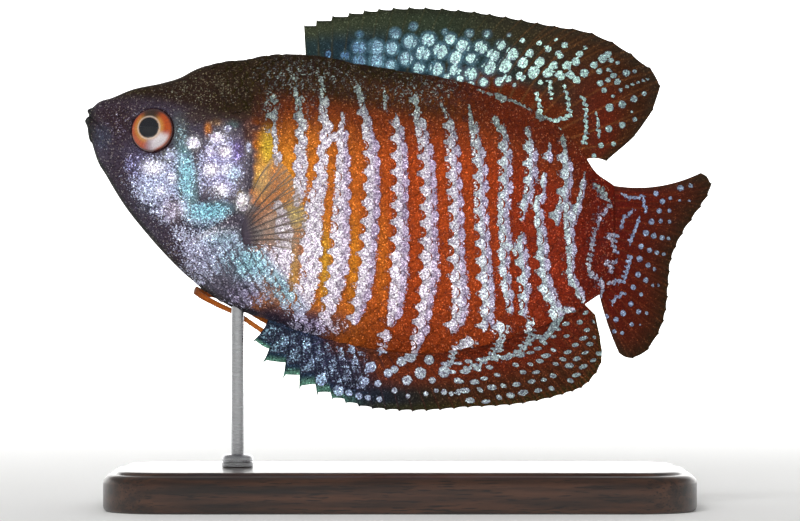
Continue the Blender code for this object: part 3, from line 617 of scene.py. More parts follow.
CHAINS = [
    [(49.6, 40.7, 0.16), (52.0, 40.0, 0.22), (54.2, 39.3, 0.22), (56.3, 38.1, 0.18), (59.1, 36.9, 0.3),
     (61.2, 37.5, 0.3), (60.9, 39.6, 0.26), (60.4, 41.7, 0.2)],
    [(58.6, 41.9, 0.3), (58.8, 39.8, 0.22)],
    [(56.9, 40.5, 0.28), (57.4, 38.3, 0.32)],
    [(62.3, 41.2, 0.28), (63.2, 38.7, 0.26), (63.2, 35.2, 0.26), (62.9, 34.2, 0.4)],
    [(64.0, 40.9, 0.35), (64.5, 38.7, 0.22), (64.8, 36.7, 0.28), (64.8, 34.9, 0.2)],
    [(66.4, 26.4, 0.24), (65.2, 24.8, 0.22), (64.3, 23.2, 0.32), (63.9, 20.8, 0.34), (63.5, 18.8, 0.3),
     (63.7, 17.4, 0.34), (65.0, 16.9, 0.3), (65.3, 15.8, 0.22), (64.8, 13.9, 0.3)],
    [(64.2, 28.7, 0.32), (64.8, 28.3, 0.28)],
    [(65.2, 28.3, 0.26), (65.6, 27.0, 0.44)],
    [(67.9, 27.5, 0.22), (68.6, 27.1, 0.24), (70.4, 27.3, 0.22), (70.8, 25.5, 0.24)],
    [(69.2, 25.5, 0.24), (67.9, 24.6, 0.26), (67.7, 23.3, 0.26)],
    [(70.0, 24.5, 0.24), (69.5, 23.3, 0.22), (69.1, 22.4, 0.26), (68.7, 21.4, 0.24)],
    [(65.9, 22.2, 0.36), (67.0, 22.4, 0.34), (66.5, 21.3, 0.3), (67.1, 20.3, 0.28)],
    [(65.7, 18.8, 0.26), (67.1, 19.1, 0.24)],
    [(66.4, 18.6, 0.3), (66.4, 17.8, 0.26)],
    [(68.8, 19.8, 0.3), (68.4, 18.1, 0.26), (67.9, 16.6, 0.3), (66.2, 16.4, 0.3)],
    [(67.9, 15.0, 0.3), (67.2, 14.6, 0.22), (66.5, 13.9, 0.3)],
    [(37.7, 9.8, 0.35), (37.4, 8.4, 0.62), (37.3, 7.8, 0.5)],
    [(51.6, 10.6, 0.6), (52.8, 10.6, 0.6)],
    [(52.2, 10.6, 0.7), (52.2, 8.4, 0.55), (51.1, 7.0, 0.4), (52.9, 6.8, 0.34), (55.2, 7.9, 0.34),
     (56.1, 9.2, 0.5), (56.1, 11.3, 0.55)],
    [(46.1, 6.2, 0.4), (46.3, 7.4, 0.45), (46.9, 8.6, 0.5), (49.2, 8.8, 0.42)],
    [(47.9, 5.5, 0.3), (49.6, 6.0, 0.32), (51.1, 7.0, 0.34)],
]
DARK_BACK, BROWN_FRONT, BROWN_MIDDLE, BROWN_REAR = (48, 38, 16), (60, 42, 20), (90, 50, 20), (112, 42, 18)
RED_FRONT, RED_MIDDLE, RED_REAR, RED_TAIL = (250, 146, 50), (190, 76, 26), (152, 48, 20), (128, 34, 12)
BAR_WHITE, BAR_MINT, BAR_VIOLET = (248, 242, 248), (220, 242, 240), (200, 180, 206)
BAR_GREEN, BAR_SHADOW, MARK_EDGE = (128, 144, 136), (160, 132, 176), (38, 20, 26)
RUST_BELOW, RUST_ABOVE, BACK_REAR, STALK_END = (132, 56, 24), (128, 56, 24), (106, 42, 20), (110, 28, 12)
# The lips' dark grey, and a darker grey after it, are also laid as painted shade along the lower edge of the
# head and chest.
HEAD_VIOLET, CROWN_OLIVE, LIP_GREY_AND_EDGE_SHADE, THROAT_SHADE = (80, 72, 88), (50, 40, 16), (44, 50, 46), (40, 44, 42)
FIN_ROOT_NAVY, FLECK_WHITE, BAR_END_GREY = (40, 44, 64), (196, 204, 222), (156, 158, 172)
GRAINS_A_METRE = 7400.0
GRAIN_BLUE, GRAIN_GOLD = (0.30, 0.36, 0.62, 1), (0.15, 0.15, 0.09, 1)
PALE_VEIL = (0.17, 0.10, 0.20, 1)
GROUND_DEPTH, TINT_DEPTH = 0.5, 0.92
FLECKS = [
    (9.2, 29.0, 5.0, 4.4, 0.56), (6.2, 31.4, 2.4, 1.8, 0.5), (11.2, 32.0, 1.8, 2.0, 0.53),
    (12.8, 29.8, 1.6, 4.2, 0.56), (12.2, 34.8, 1.2, 2.2, 0.49), (17.3, 31.0, 3.4, 5.2, 0.57),
    (15.0, 25.0, 4.4, 2.0, 0.56), (10.0, 25.4, 3.0, 2.4, 0.52), (15.6, 21.0, 6.0, 3.6, 0.54),
    (22.0, 18.4, 4.0, 3.4, 0.57), (25.6, 14.6, 2.8, 2.3, 0.53), (14.6, 18.6, 4.0, 2.8, 0.51),
    (20.5, 14.8, 4.2, 2.0, 0.5), (12.0, 22.6, 2.4, 2.0, 0.51), (29.0, 10.9, 5.0, 1.5, 0.5),
    (8.4, 30.9, 1.3, 0.8, 0.8), (10.6, 32.4, 0.6, 0.5, 0.75), (9.4, 28.0, 0.7, 0.6, 0.7),
    (11.0, 29.6, 0.6, 0.6, 0.7), (13.6, 34.0, 0.8, 0.7, 0.9), (15.9, 30.6, 0.8, 0.7, 0.85),
    (17.6, 32.3, 0.7, 0.6, 0.8), (17.5, 28.2, 0.8, 0.7, 0.8), (16.6, 34.6, 0.9, 0.7, 0.8),
    (18.0, 35.8, 0.5, 0.4, 0.75), (19.0, 30.2, 0.6, 0.7, 0.75), (15.6, 33.0, 0.5, 0.5, 0.7),
    (12.4, 26.0, 0.8, 0.9, 0.7), (14.7, 30.4, 0.9, 4.2, 0.53), (19.9, 26.5, 0.8, 1.1, 0.9),
    (20.6, 33.4, 0.3, 0.7, 0.75), (13.4, 20.4, 0.5, 0.5, 0.65), (13.9, 16.4, 1.4, 0.25, 0.7),
    (27.5, 42.6, 9.0, 3.2, 0.436), (42.0, 40.6, 8.0, 2.8, 0.432), (14.0, 41.0, 9.0, 3.4, 0.436),
    (5.0, 36.4, 4.6, 4.0, 0.44), (6.0, 30.0, 3.0, 4.6, 0.44), (23.4, 38.4, 1.6, 4.6, 0.445),
    (28.2, 38.5, 1.6, 3.0, 0.42), (34.0, 41.0, 3.0, 2.0, 0.42),
]
FLECK_WASHES = [
    (9.6, 29.4, 4.4, 4.0, (180, 192, 220), 0.8), (6.4, 31.4, 2.0, 1.8, (120, 116, 186), 0.7),
    (8.4, 30.9, 1.5, 1.0, (250, 252, 255), 0.95), (12.8, 29.8, 1.3, 3.8, (146, 216, 222), 0.85),
    (11.0, 29.6, 0.7, 0.7, (244, 248, 255), 0.8), (9.4, 28.0, 0.8, 0.7, (240, 246, 255), 0.8),
    (13.6, 34.0, 1.0, 0.9, (255, 252, 255), 0.95), (12.0, 35.0, 1.1, 2.0, (130, 176, 180), 0.8),
    (17.2, 31.2, 2.8, 4.6, (160, 158, 204), 0.85), (19.2, 33.0, 0.9, 1.6, (132, 110, 190), 0.8),
    (15.9, 30.6, 1.0, 0.9, (255, 255, 255), 1.0), (17.6, 32.9, 0.95, 0.85, (255, 252, 255), 1.0),
    (17.0, 28.0, 1.05, 0.95, (255, 255, 255), 1.0), (16.6, 34.8, 1.0, 0.8, (255, 250, 255), 0.95),
    (17.9, 30.6, 0.9, 0.8, (244, 248, 255), 0.95), (15.8, 33.0, 0.7, 0.8, (236, 236, 255), 0.9),
    (18.8, 30.0, 0.9, 1.0, (190, 220, 232), 0.8), (15.6, 25.4, 3.6, 1.6, (130, 206, 216), 0.85),
    (11.2, 25.6, 1.6, 1.6, (214, 200, 216), 0.7), (19.9, 26.5, 1.0, 1.3, (255, 252, 244), 1.0),
    (15.0, 20.0, 5.0, 3.0, (172, 176, 200), 0.7), (20.6, 19.0, 3.8, 2.4, (150, 212, 218), 0.8),
    (17.0, 22.4, 2.6, 1.4, (166, 208, 218), 0.7), (25.0, 16.0, 2.8, 2.6, (156, 206, 210), 0.8),
    (24.6, 20.4, 1.8, 2.2, (234, 220, 234), 0.8), (19.5, 14.8, 4.0, 1.8, (156, 144, 172), 0.7),
    (29.5, 11.2, 4.0, 1.4, (178, 164, 196), 0.85), (16.0, 41.5, 16.0, 4.6, (112, 112, 74), 0.9),
    (30.0, 43.0, 16.0, 3.8, (132, 122, 84), 0.9), (45.0, 39.5, 12.0, 4.8, (140, 112, 76), 0.9),
    (4.6, 35.6, 4.4, 3.6, (138, 128, 148), 0.9),
]
HEAD_WASHES = [
    (10.5, 29.0, 5.5, 5.0, (92, 94, 112), 0.85), (6.2, 31.4, 2.6, 2.2, (118, 112, 152), 0.6),
    (3.4, 36.8, 3.4, 2.6, (62, 50, 54), 0.9), (3.8, 31.0, 1.9, 3.0, (72, 63, 74), 0.8),
    (6.6, 26.8, 2.0, 2.2, (78, 74, 88), 0.7), (8.5, 30.9, 1.7, 1.1, (232, 238, 247), 0.9),
    (10.6, 32.4, 0.8, 0.7, (228, 236, 232), 0.8), (8.0, 28.4, 1.6, 0.8, (150, 170, 196), 0.5),
    (8.6, 26.6, 2.2, 1.4, (104, 118, 142), 0.6), (11.9, 35.2, 1.1, 2.4, (128, 148, 150), 0.7),
    (12.4, 32.4, 1.0, 1.8, (150, 208, 216), 0.75), (12.8, 29.6, 1.3, 1.9, (148, 206, 214), 0.8),
    (13.3, 27.4, 0.9, 1.6, (160, 214, 222), 0.8), (12.4, 26.0, 0.8, 1.0, (226, 238, 242), 0.8),
    (13.6, 34.0, 0.9, 0.8, (244, 244, 248), 0.95), (11.1, 25.4, 1.1, 1.2, (206, 192, 206), 0.6),
    (17.4, 31.0, 2.9, 4.6, (196, 190, 208), 0.85), (15.9, 30.6, 0.9, 0.9, (240, 238, 246), 0.85),
    (17.6, 32.3, 0.7, 0.6, (232, 228, 240), 0.7), (17.5, 28.2, 0.8, 0.8, (240, 240, 248), 0.8),
    (16.6, 34.6, 1.0, 0.7, (240, 238, 246), 0.8), (17.9, 35.6, 0.5, 0.4, (236, 236, 240), 0.7),
    (19.2, 33.2, 0.9, 1.3, (128, 106, 172), 0.7), (18.6, 30.4, 0.9, 1.0, (168, 196, 214), 0.6),
    (15.5, 35.8, 0.5, 0.9, (226, 134, 44), 0.95), (16.5, 36.6, 0.7, 0.5, (196, 150, 96), 0.7),
    (18.6, 36.4, 0.8, 0.6, (120, 168, 170), 0.7), (16.8, 25.8, 2.0, 0.9, (128, 190, 204), 0.75),
    (14.8, 24.4, 1.8, 1.2, (108, 162, 184), 0.7), (20.0, 26.5, 0.95, 1.2, (248, 246, 240), 1.0),
    (19.5, 27.6, 0.4, 0.5, (206, 184, 132), 0.7), (20.6, 33.4, 0.4, 0.8, (246, 244, 246), 0.95),
    (19.4, 37.8, 3.0, 1.9, (72, 50, 38), 0.9), (20.7, 35.2, 0.9, 2.2, (104, 64, 46), 0.8),
    # The blue-grey wash at x 2 on the snout, last below, is a painted sheen.
    (14.6, 37.4, 3.0, 1.2, (70, 54, 46), 0.8), (2.0, 34.9, 1.3, 1.6, (86, 98, 120), 0.6),
]
CHEST_WASHES = [
    (15.0, 20.0, 7.0, 5.5, (142, 140, 158), 0.9), (21.5, 18.6, 3.0, 2.4, (126, 166, 182), 0.75),
    (24.5, 15.6, 2.6, 2.0, (120, 152, 168), 0.6), (17.2, 22.2, 2.2, 1.2, (150, 190, 200), 0.6),
    (12.0, 23.0, 1.8, 1.4, (190, 180, 198), 0.5), (25.0, 19.8, 2.2, 2.6, (214, 202, 214), 0.7),
    (19.0, 15.0, 3.4, 1.8, (110, 106, 128), 0.6), (23.5, 12.6, 3.0, 1.2, (70, 72, 92), 0.75),
    (27.5, 11.4, 4.6, 1.7, (84, 74, 98), 0.9), (28.0, 10.9, 3.0, 0.8, (100, 84, 110), 0.7),
    (21.4, 22.6, 1.2, 1.0, (232, 236, 240), 0.7),
]
FRONT_WASHES = [
    (23.0, 33.4, 1.0, 2.4, (255, 214, 70), 0.9), (22.2, 29.5, 1.1, 2.4, (255, 206, 110), 0.8),
    (25.6, 30.0, 1.4, 3.2, (255, 166, 52), 0.75), (26.3, 24.8, 1.7, 1.7, (255, 226, 120), 0.95),
    (30.2, 18.5, 0.8, 5.0, (255, 190, 60), 0.8), (33.8, 18.5, 0.9, 6.0, (255, 160, 44), 0.7),
    (37.4, 19.5, 0.9, 6.0, (244, 134, 40), 0.6), (26.2, 18.4, 0.8, 3.2, (255, 196, 90), 0.7),
    (19.4, 38.6, 3.4, 1.6, (56, 40, 30), 0.7), (22.4, 37.6, 2.0, 1.4, (74, 46, 30), 0.6),
    (24.0, 23.4, 2.2, 2.2, (236, 214, 196), 0.75),
]


def within_lines(x, z, lines):
    """How deep places lie in the nearest of some lines with widths: 1 on the line, 0.5 at its edge."""
    depth = np.zeros(np.shape(x))
    for line in lines:
        wide = max(w for _, _, w in line)
        for (x0, z0, w0), (x1, z1, w1) in zip(line, line[1:]):
            near = (x > min(x0, x1) - 2 * wide) & (x < max(x0, x1) + 2 * wide)
            near &= (z > min(z0, z1) - 2 * wide) & (z < max(z0, z1) + 2 * wide)
            if not near.any():
                continue
            dx, dz = x1 - x0, z1 - z0
            px, pz = x[near], z[near]
            t = np.clip(((px - x0) * dx + (pz - z0) * dz) / (dx * dx + dz * dz), 0, 1)
            far = np.hypot(px - x0 - t * dx, pz - z0 - t * dz)
            depth[near] = np.maximum(depth[near], 1 - 0.5 * far / (w0 + (w1 - w0) * t))
    return depth


def mixed(under, over, share):
    """One colour laid over another by a share at each place."""
    return under + (over - under) * share[..., None]


def washed(colour, x, z, washes):
    """A colour under soft patches of pigment; the blue-grey wash on the snout among them is a painted sheen.
    """
    for at_x, at_z, reach_x, reach_z, pigment, strength in washes:
        far = ((x - at_x) / reach_x) ** 2 + ((z - at_z) / reach_z) ** 2
        colour = mixed(colour, linear(*pigment), strength * np.exp(-(far**1.5)))
    return colour


def crown_edge(x):
    """The height above which the head's olive crown begins."""
    return np.interp(x, [0, 3, 6, 9, 13, 17, 22], [38.6, 38.6, 38.6, 38.4, 37.4, 36.4, 36.6])


def cover_front(z):
    """How far back the cheek and gill cover reach below the eye."""
    return np.interp(z, [14, 18, 22, 24, 26, 30, 36], [9.5, 11.5, 13.2, 17.0, 19.9, 21.0, 20.6])


def chest_top(x):
    """The height below which the chest and belly have flecks in place of bars."""
    return np.interp(x, [9, 13, 19, 22, 25, 28, 31, 36], [22, 22.5, 23.5, 22.0, 17.5, 13.5, 10.5, 6.0])


def fleck_depth(x, z):
    """How thickly pale flecks lie on the cheek, gill cover, chest and back; under 0.5 they are scattered."""
    depth = np.full(np.shape(x), 0.30)
    for at_x, at_z, reach_x, reach_z, level in FLECKS:
        far = ((x - at_x) / reach_x) ** 2 + ((z - at_z) / reach_z) ** 2
        depth = np.maximum(depth, 0.30 + (level - 0.30) * np.exp(-(far**1.5)))
    return depth


def flank_ground(x, z):
    """The flank's pigment: dark along the back, then brown, then orange in front to deep red at the tail."""
    from_back = back(x) - z
    share = np.clip((x - 22) / 42, 0, 1)
    red = mixed(linear(*RED_FRONT), linear(*RED_MIDDLE), ease(x, 25, 41))
    red = mixed(red, linear(*RED_REAR), ease(x, 46, 58))
    red = mixed(red, linear(*RED_TAIL), ease(x, 59, 64))
    red = mixed(red, linear(*RUST_BELOW), 0.6 * ease(16 - z, 0, 9) * ease(x, 24, 30))
    brown = mixed(linear(*BROWN_FRONT), linear(*BROWN_MIDDLE), ease(x, 30, 42))
    brown = mixed(brown, linear(*BROWN_REAR), ease(x, 42, 54))
    brown = mixed(brown, linear(*RUST_ABOVE), ease(from_back, 4, 8 - 3 * share))
    colour = mixed(brown, red, ease(from_back, 6.5 - 3.5 * share, 15 - 5 * share))
    top = mixed(linear(*DARK_BACK), linear(*BACK_REAR), ease(x, 40, 52))
    colour = mixed(top, colour, ease(from_back, 0.8, 3.6 - 1.5 * share))
    return mixed(colour, linear(*STALK_END), ease(x, 60.5, 65.0))


def head_ground(x, z, throat_shade):
    """The head's colour: a dusky violet with its washes (one a painted sheen on the snout), an olive crown,
    dark lips, and painted shade along its lower edge.
    """
    colour = np.broadcast_to(linear(*HEAD_VIOLET), (*np.shape(x), 3))
    colour = washed(colour, x, z, HEAD_WASHES)
    colour = mixed(colour, linear(*CROWN_OLIVE), ease(z - crown_edge(x), 0.0, 2.2))
    # The lips' grey also lies here as painted shade along the lower edge.
    return mixed(colour, linear(*LIP_GREY_AND_EDGE_SHADE), np.maximum(throat_shade, ease(1.5 - x, 0.0, 1.3) * 0.85))


def ground_colour(x, z):
    """The skin's colour under the pale bars: its own pigment, with painted shade along the lower edge of the
    head and chest.
    """
    edge = z - belly(x)
    # Painted shade: within about a millimetre of the lower edge, fading out between x 18 and 24.
    throat_shade = (1 - ease(edge, 0.1, 1.3)) * ease(24 - x, 0, 6)
    ragged = 0.5 * np.sin(z * 1.9) + 0.4 * np.sin(z * 4.3 + 1.0)
    behind_head = ease(x + ragged - 0.12 * (z - 36) * (z > 36), 20.4, 22.2)
    behind_head = np.where(z > 37, ease(x + 0.25 * (44 - z) + ragged, 19.0, 26.0), behind_head)
    head = head_ground(x, z, throat_shade)
    body = washed(mixed(head, flank_ground(x, z), behind_head), x, z, CHEST_WASHES + FRONT_WASHES)
    colour = mixed(head, body, ease(x - cover_front(z), 0.0, 0.7))
    # A darker painted shade along the lower edge, behind x 10.
    colour = mixed(colour, linear(*THROAT_SHADE), throat_shade * ease(x, 10, 13))
    above_fin = (1 - ease(edge, 0.2, 2.8)) * ease(x, 21, 23) * ease(33 - x, 0, 5)
    return mixed(colour, linear(*FIN_ROOT_NAVY), 0.95 * above_fin)


def head_tint(x, z):
    """The pale flecks of cheek, gill cover and chest: white, with patches of turquoise, blue and violet."""
    tint = np.broadcast_to(linear(*FLECK_WHITE), (*np.shape(x), 3))
    return washed(tint, x, z, FLECK_WASHES)


def tint_colour(x, z):
    """The bars' pale colour: green-grey near the back, lavender in front and mint towards the tail, with a
    painted violet shadow on each bar's rear side.
    """
    tint = mixed(linear(*BAR_WHITE), linear(*BAR_MINT), ease(x, 42, 56))
    tint = mixed(tint, linear(*BAR_VIOLET), 0.2 * ease(17 - z, 0, 6) * ease(46 - x, 0, 12))
    tint = tint * (1 - 0.24 * ease(z + 0.25 * (x - 30), 20, 26))[..., None]
    # A painted violet shadow along the rear side of each bar, from x 30 back.
    rear_side = ease(within_lines(x - 0.4, z, BARS) - within_lines(x + 0.4, z, BARS), -0.1, 0.45)
    tint = mixed(tint, linear(*BAR_SHADOW), 0.6 * rear_side * ease(x, 30, 34))
    tint = mixed(tint, linear(*BAR_END_GREY), ease(x, 62.4, 64.4))
    nape, rear = ease(31 - x, 0, 5), ease(x, 50, 60)
    below_back = ease(back(x) - z, 3.0 + 3.0 * nape - 2.0 * rear, 12.0 + 3.0 * nape - 8.0 * rear)
    tint = mixed(linear(*BAR_GREEN), tint, below_back)
    among_bars = ease(x - cover_front(z), 0.0, 0.6) * ease(z - chest_top(x), -1.5, 1.0)
    return mixed(head_tint(x, z), tint, among_bars)


def mark_depth(x, z):
    """The pale marks of the flanks and fin roots; the head and chest have none."""
    faded = 0.26 * (1 - ease(back(x) - z, 2.0, 9.0 - 5.0 * ease(x, 48, 60)))
    faded += 0.14 * ease(28 - x, 0, 3) * ease(z, 31, 35)
    faded += 0.08 * ease(25.6 - x, 0, 1.5) * ease(z, 33, 37)
    broken = 0.2 + 0.32 * np.sin(6.5 * x + 3.0 * z) * np.sin(6.0 * z - 3.5 * x)
    strings = (within_lines(x, z, CHAINS) + 0.35) / 1.35
    depth = np.maximum(within_lines(x, z, BARS) - faded, strings - broken)
    first_bar = np.interp(z, [10, 24, 40], [22, 21.5, 22])
    behind = ease(x - cover_front(z), -0.2, 0.6) * ease(x - first_bar, -0.5, 1.0)
    in_body = (z < back(x) + 0.2) & (z > belly(x) - 0.2)
    return np.maximum(depth * behind, fleck_depth(x, z) * in_body)


def give_colours(piece, ground, tint, pale, grit):
    """Stores each point's colours for the shaders: ground and pale colour, depth in a mark, and glitter."""
    ground, tint = ground * GROUND_DEPTH, tint * TINT_DEPTH
    for name, values in (("ground", ground), ("tint", tint)):
        layer = piece.data.attributes.new(name, "FLOAT_COLOR", "POINT")
        solid = np.hstack([values, np.ones((len(values), 1))])
        layer.data.foreach_set("color", solid.astype(np.float32).ravel())
    for name, values in (("pale", pale), ("grit", grit)):
        layer = piece.data.attributes.new(name, "FLOAT", "POINT")
        layer.data.foreach_set("value", np.broadcast_to(values, len(ground)).astype(np.float32).ravel())


def give_bake_map(piece, u, v):
    """Lays the surface out flat for baking, from a place (u, v) at each point."""
    corners = np.empty(len(piece.data.loops), np.int32)
    piece.data.loops.foreach_get("vertex_index", corners)
    layer = piece.data.uv_layers.new(name="OFBake")
    flat = np.stack([np.ravel(u)[corners], np.ravel(v)[corners]], 1)
    layer.data.foreach_set("uv", flat.astype(np.float32).ravel())


def glitter_group():
    """Grains of silvery pigment: each cell of the skin is a little brighter, darker or bluer."""
    group, given, made = new_group(
        "glitter",
        [
            ("Colour", "Color", (0.5, 0.5, 0.5, 1)), ("Amount", "Float", 0.5),
            ("Cells", "Float", GRAINS_A_METRE), ("Sparkle", "Float", 0.6),
        ],
        [("Colour", "Color"), ("Height", "Float")],
    )
    cells = add_node(group, "ShaderNodeTexVoronoi", Vector=object_place(group), Scale=given.outputs["Cells"])
    chance, chance_of_blue, chance_of_spark = add_node(
        group, "ShaderNodeSeparateColor", i0=cells.outputs["Color"]
    ).outputs
    amount = given.outputs["Amount"]
    swing = product(group, remap(group, chance, 0.0, 1.0, -0.62, 0.66), amount)
    tone = scaled_colour(group, given.outputs["Colour"], calculate(group, "ADD", swing, 1.0))
    hue = product(group, remap(group, chance_of_blue, 0.5, 1.0), product(group, amount, 0.42))
    cool = blend_colours(group, hue, tone, GRAIN_BLUE, "MULTIPLY")
    cool = blend_colours(group, 0.5, cool, tone)
    spark = calculate(group, "GREATER_THAN", chance_of_spark, 0.93)
    boost = product(group, spark, product(group, amount, 2.2))
    bright = scaled_colour(group, cool, calculate(group, "ADD", boost, 1.0))
    gold = product(group, product(group, spark, amount), given.outputs["Sparkle"])
    group.links.new(blend_colours(group, gold, bright, GRAIN_GOLD, "ADD"), made.inputs["Colour"])
    group.links.new(product(group, chance, amount), made.inputs["Height"])
    return group


def pale_marks_group():
    """Pale pigment laid over the ground colour wherever the marks' depth passes a ragged edge."""
    group, given, made = new_group(
        "pale_marks",
        [
            ("Ground", "Color", (0.2, 0.1, 0.05, 1)), ("Tint", "Color", (0.8, 0.8, 0.85, 1)),
            ("Depth", "Float", 0.0), ("Rag", "Float", 0.3), ("Outline", "Float", 0.5),
        ],
        [("Colour", "Color"), ("Mask", "Float")],
    )
    ground, tint, depth, rag, outline = given.outputs[:5]
    where = object_place(group)
    coarse, fine = noise(group, where, 2000.0, 1.0), noise(group, where, 4600.0, 1.0)
    both = calculate(group, "ADD", product(group, coarse, 0.5), fine)
    level = calculate(group, "ADD", depth, product(group, calculate(group, "SUBTRACT", both, 0.75), rag))
    mask = remap(group, level, 0.46, 0.54, curve="SMOOTHSTEP")
    rim = product(group, remap(group, level, 0.30, 0.44, curve="SMOOTHSTEP"), outline)
    edged = blend_colours(group, rim, ground, (*linear(*MARK_EDGE), 1))
    dull = remap(group, noise(group, where, 4200.0, 4.0, Roughness=0.8), 0.56, 0.44, curve="SMOOTHSTEP")
    veiled = blend_colours(group, 1.0, tint, PALE_VEIL, "MULTIPLY")
    pigment = blend_colours(group, product(group, dull, 0.85), tint, veiled)
    group.links.new(blend_colours(group, mask, edged, pigment), made.inputs["Colour"])
    group.links.new(mask, made.inputs["Mask"])
    return group


glitter, pale_marks = glitter_group(), pale_marks_group()


def stored(tree, name, output="Color"):
    """What give_colours() stored on the points under a name."""
    return add_node(tree, "ShaderNodeAttribute", {"attribute_name": name}).outputs[output]


def stored_colour_material(
    name, roughness, coat, cells=GRAINS_A_METRE, rag=0.3, outline=0.5, bump=0.35, sparkle=0.6
):
    """Skin, scale or membrane painted from the colours stored on its points, which on skin and scales include
    painted light and shade.
    """
    made = simple_material(
        name, Roughness=roughness, Coat_Weight=coat, Coat_Roughness=0.22, Specular_IOR_Level=0.06
    )
    tree = made.node_tree
    shader = tree.nodes["Principled BSDF"]
    marks = add_node(
        tree, "ShaderNodeGroup", {"node_tree": pale_marks}, Ground=stored(tree, "ground"),
        Tint=stored(tree, "tint"), Depth=stored(tree, "pale", "Fac"), Rag=rag, Outline=outline,
    )
    grains = add_node(
        tree, "ShaderNodeGroup", {"node_tree": glitter}, Colour=marks.outputs["Colour"],
        Amount=stored(tree, "grit", "Fac"), Cells=cells, Sparkle=sparkle,
    )
    tree.links.new(grains.outputs["Colour"], shader.inputs["Base Color"])
    relief = add_node(
        tree, "ShaderNodeBump", Strength=bump, Distance=0.00002, Height=grains.outputs["Height"]
    )
    tree.links.new(relief.outputs[0], shader.inputs["Normal"])
    return made


def grit_amount(x, z):
    """How strongly the skin glitters: most on the cheek and chest, least on the snout and crown."""
    cheek = np.exp(-(((x - 11.5) / 6.5) ** 2) - ((z - 28.5) / 6.5) ** 2)
    chest = np.exp(-(((x - 18.0) / 9.0) ** 2) - ((z - 19.0) / 5.5) ** 2)
    return 0.66 + 0.28 * np.maximum(cheek, chest)


def body_skin():
    """The skin, with the head's relief raised in it and its flanks let in under the scales."""
    rings = skin_rings()
    rows, around = rings.shape[:2]
    points, normals = rings.reshape(-1, 3), outwards(rings).reshape(-1, 3)
    x, _, z = points.T
    lift = np.zeros(len(points))
    front = x < RELIEF_END
    lift[front] = head_relief(points[front])
    points = points + normals * (lift - COAT_DEPTH * scaled_part(x, z))[:, None]
    points = np.vstack([points, points[:around].mean(0), points[-around:].mean(0)])
    made = build_mesh("body_skin", place(points), *tube_faces(rows, around))
    x, _, z = points.T
    give_colours(made, ground_colour(x, z), tint_colour(x, z), mark_depth(x, z), grit_amount(x, z))
    u = np.append(np.repeat(np.arange(rows) / rows, around), [0.0, 1.0])
    v = np.append(np.tile(np.arange(around) / around, rows), [0.5, 0.5])
    give_bake_map(made, u, v)
    return made


skin = body_skin()
skin.data.materials.append(stored_colour_material("skin_paint", 0.48, 0.04, rag=0.34))
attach(skin, "root")
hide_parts("head", "upper_jaw", "lower_jaw", "gill_cover_l", "gill_cover_r", "trunk", "tail_stalk")


# Eyes
# Each eye is a flattened glassy ball in its socket: a blue-black pupil inside a thin pale gold ring, an
# orange iris, a dark top and a silvery lower part that brightens into a painted glint at its rear, all under
# one clear wet cornea.
PUPIL_RADIUS, PUPIL_RING = 1.33, 1.5
PUPIL_AT = (-0.22, 0.24)
PUPIL_BLACK, PUPIL_GOLD = (17, 19, 30), (250, 226, 208)
IRIS_GOLD, IRIS_ORANGE, IRIS_STREAK = (244, 170, 72), (226, 92, 18), (120, 50, 20)
SILVER_DULL, SILVER_AND_GLINT, SILVER_STREAK = (176, 140, 158), (255, 246, 250), (120, 84, 96)
EYE_TOP, EYE_RIM = (24, 20, 14), (72, 30, 26)


def eye_colour(aside, up):
    """The eye's colour at a place on its front, in millimetres behind and above its middle: its pigment, with
    a painted glint where the silver brightens towards the rear.
    """
    turn = np.degrees(np.arctan2(up, aside))
    radius = np.hypot(aside, up)
    from_pupil = np.hypot(aside - PUPIL_AT[0], up - PUPIL_AT[1])
    streaks = 0.5 + 0.5 * np.sin(np.radians(turn) * 46 + 3 * np.sin(np.radians(turn) * 7))
    orange = mixed(linear(*IRIS_GOLD), linear(*IRIS_ORANGE), ease(from_pupil, 1.5, 2.2))
    orange = mixed(orange, linear(*IRIS_STREAK), 0.25 * streaks)
    # The silver's own pale pigment brightens towards the rear into a painted glint.
    silver = mixed(linear(*SILVER_DULL), linear(*SILVER_AND_GLINT), ease(aside, -0.9, 0.9))
    silver = mixed(silver, linear(*SILVER_STREAK), 0.35 * streaks * ease(0.5 - aside, 0.0, 0.9))
    low = np.exp(-(((turn + 62) / 48.0) ** 6)) * ease(radius, 0.9, 1.5)
    colour = mixed(orange, silver, low * (1 - ease(radius, 2.2, 2.6) * ease(aside, 0, 1)))
    top = np.exp(-(((turn - 92) / 33.0) ** 4)) * ease(radius, 1.1, 1.7)
    colour = mixed(colour, linear(*EYE_TOP), 0.95 * top)
    colour = mixed(colour, linear(*EYE_RIM), ease(radius, 2.4, 2.7))
    ring = bump_at(from_pupil, 0.09, (PUPIL_RADIUS + PUPIL_RING) / 2)
    colour = mixed(colour, linear(*PUPIL_GOLD), 0.95 * ring)
    return mixed(colour, linear(*PUPIL_BLACK), ease(PUPIL_RADIUS - from_pupil, -0.03, 0.05))


def eye_material():
    """A clear wet cornea over the painted iris."""
    made = simple_material("eye_glass", Roughness=0.16, Coat_Weight=1.0, Coat_Roughness=0.02, Coat_IOR=1.45)
    tree = made.node_tree
    mottle = remap(tree, noise(tree, object_place(tree), 6000.0, 3.0), 0.3, 0.7, 0.72, 1.0)
    tone = scaled_colour(tree, stored(tree, "ground"), mottle)
    tree.links.new(tone, tree.nodes["Principled BSDF"].inputs["Base Color"])
    return made


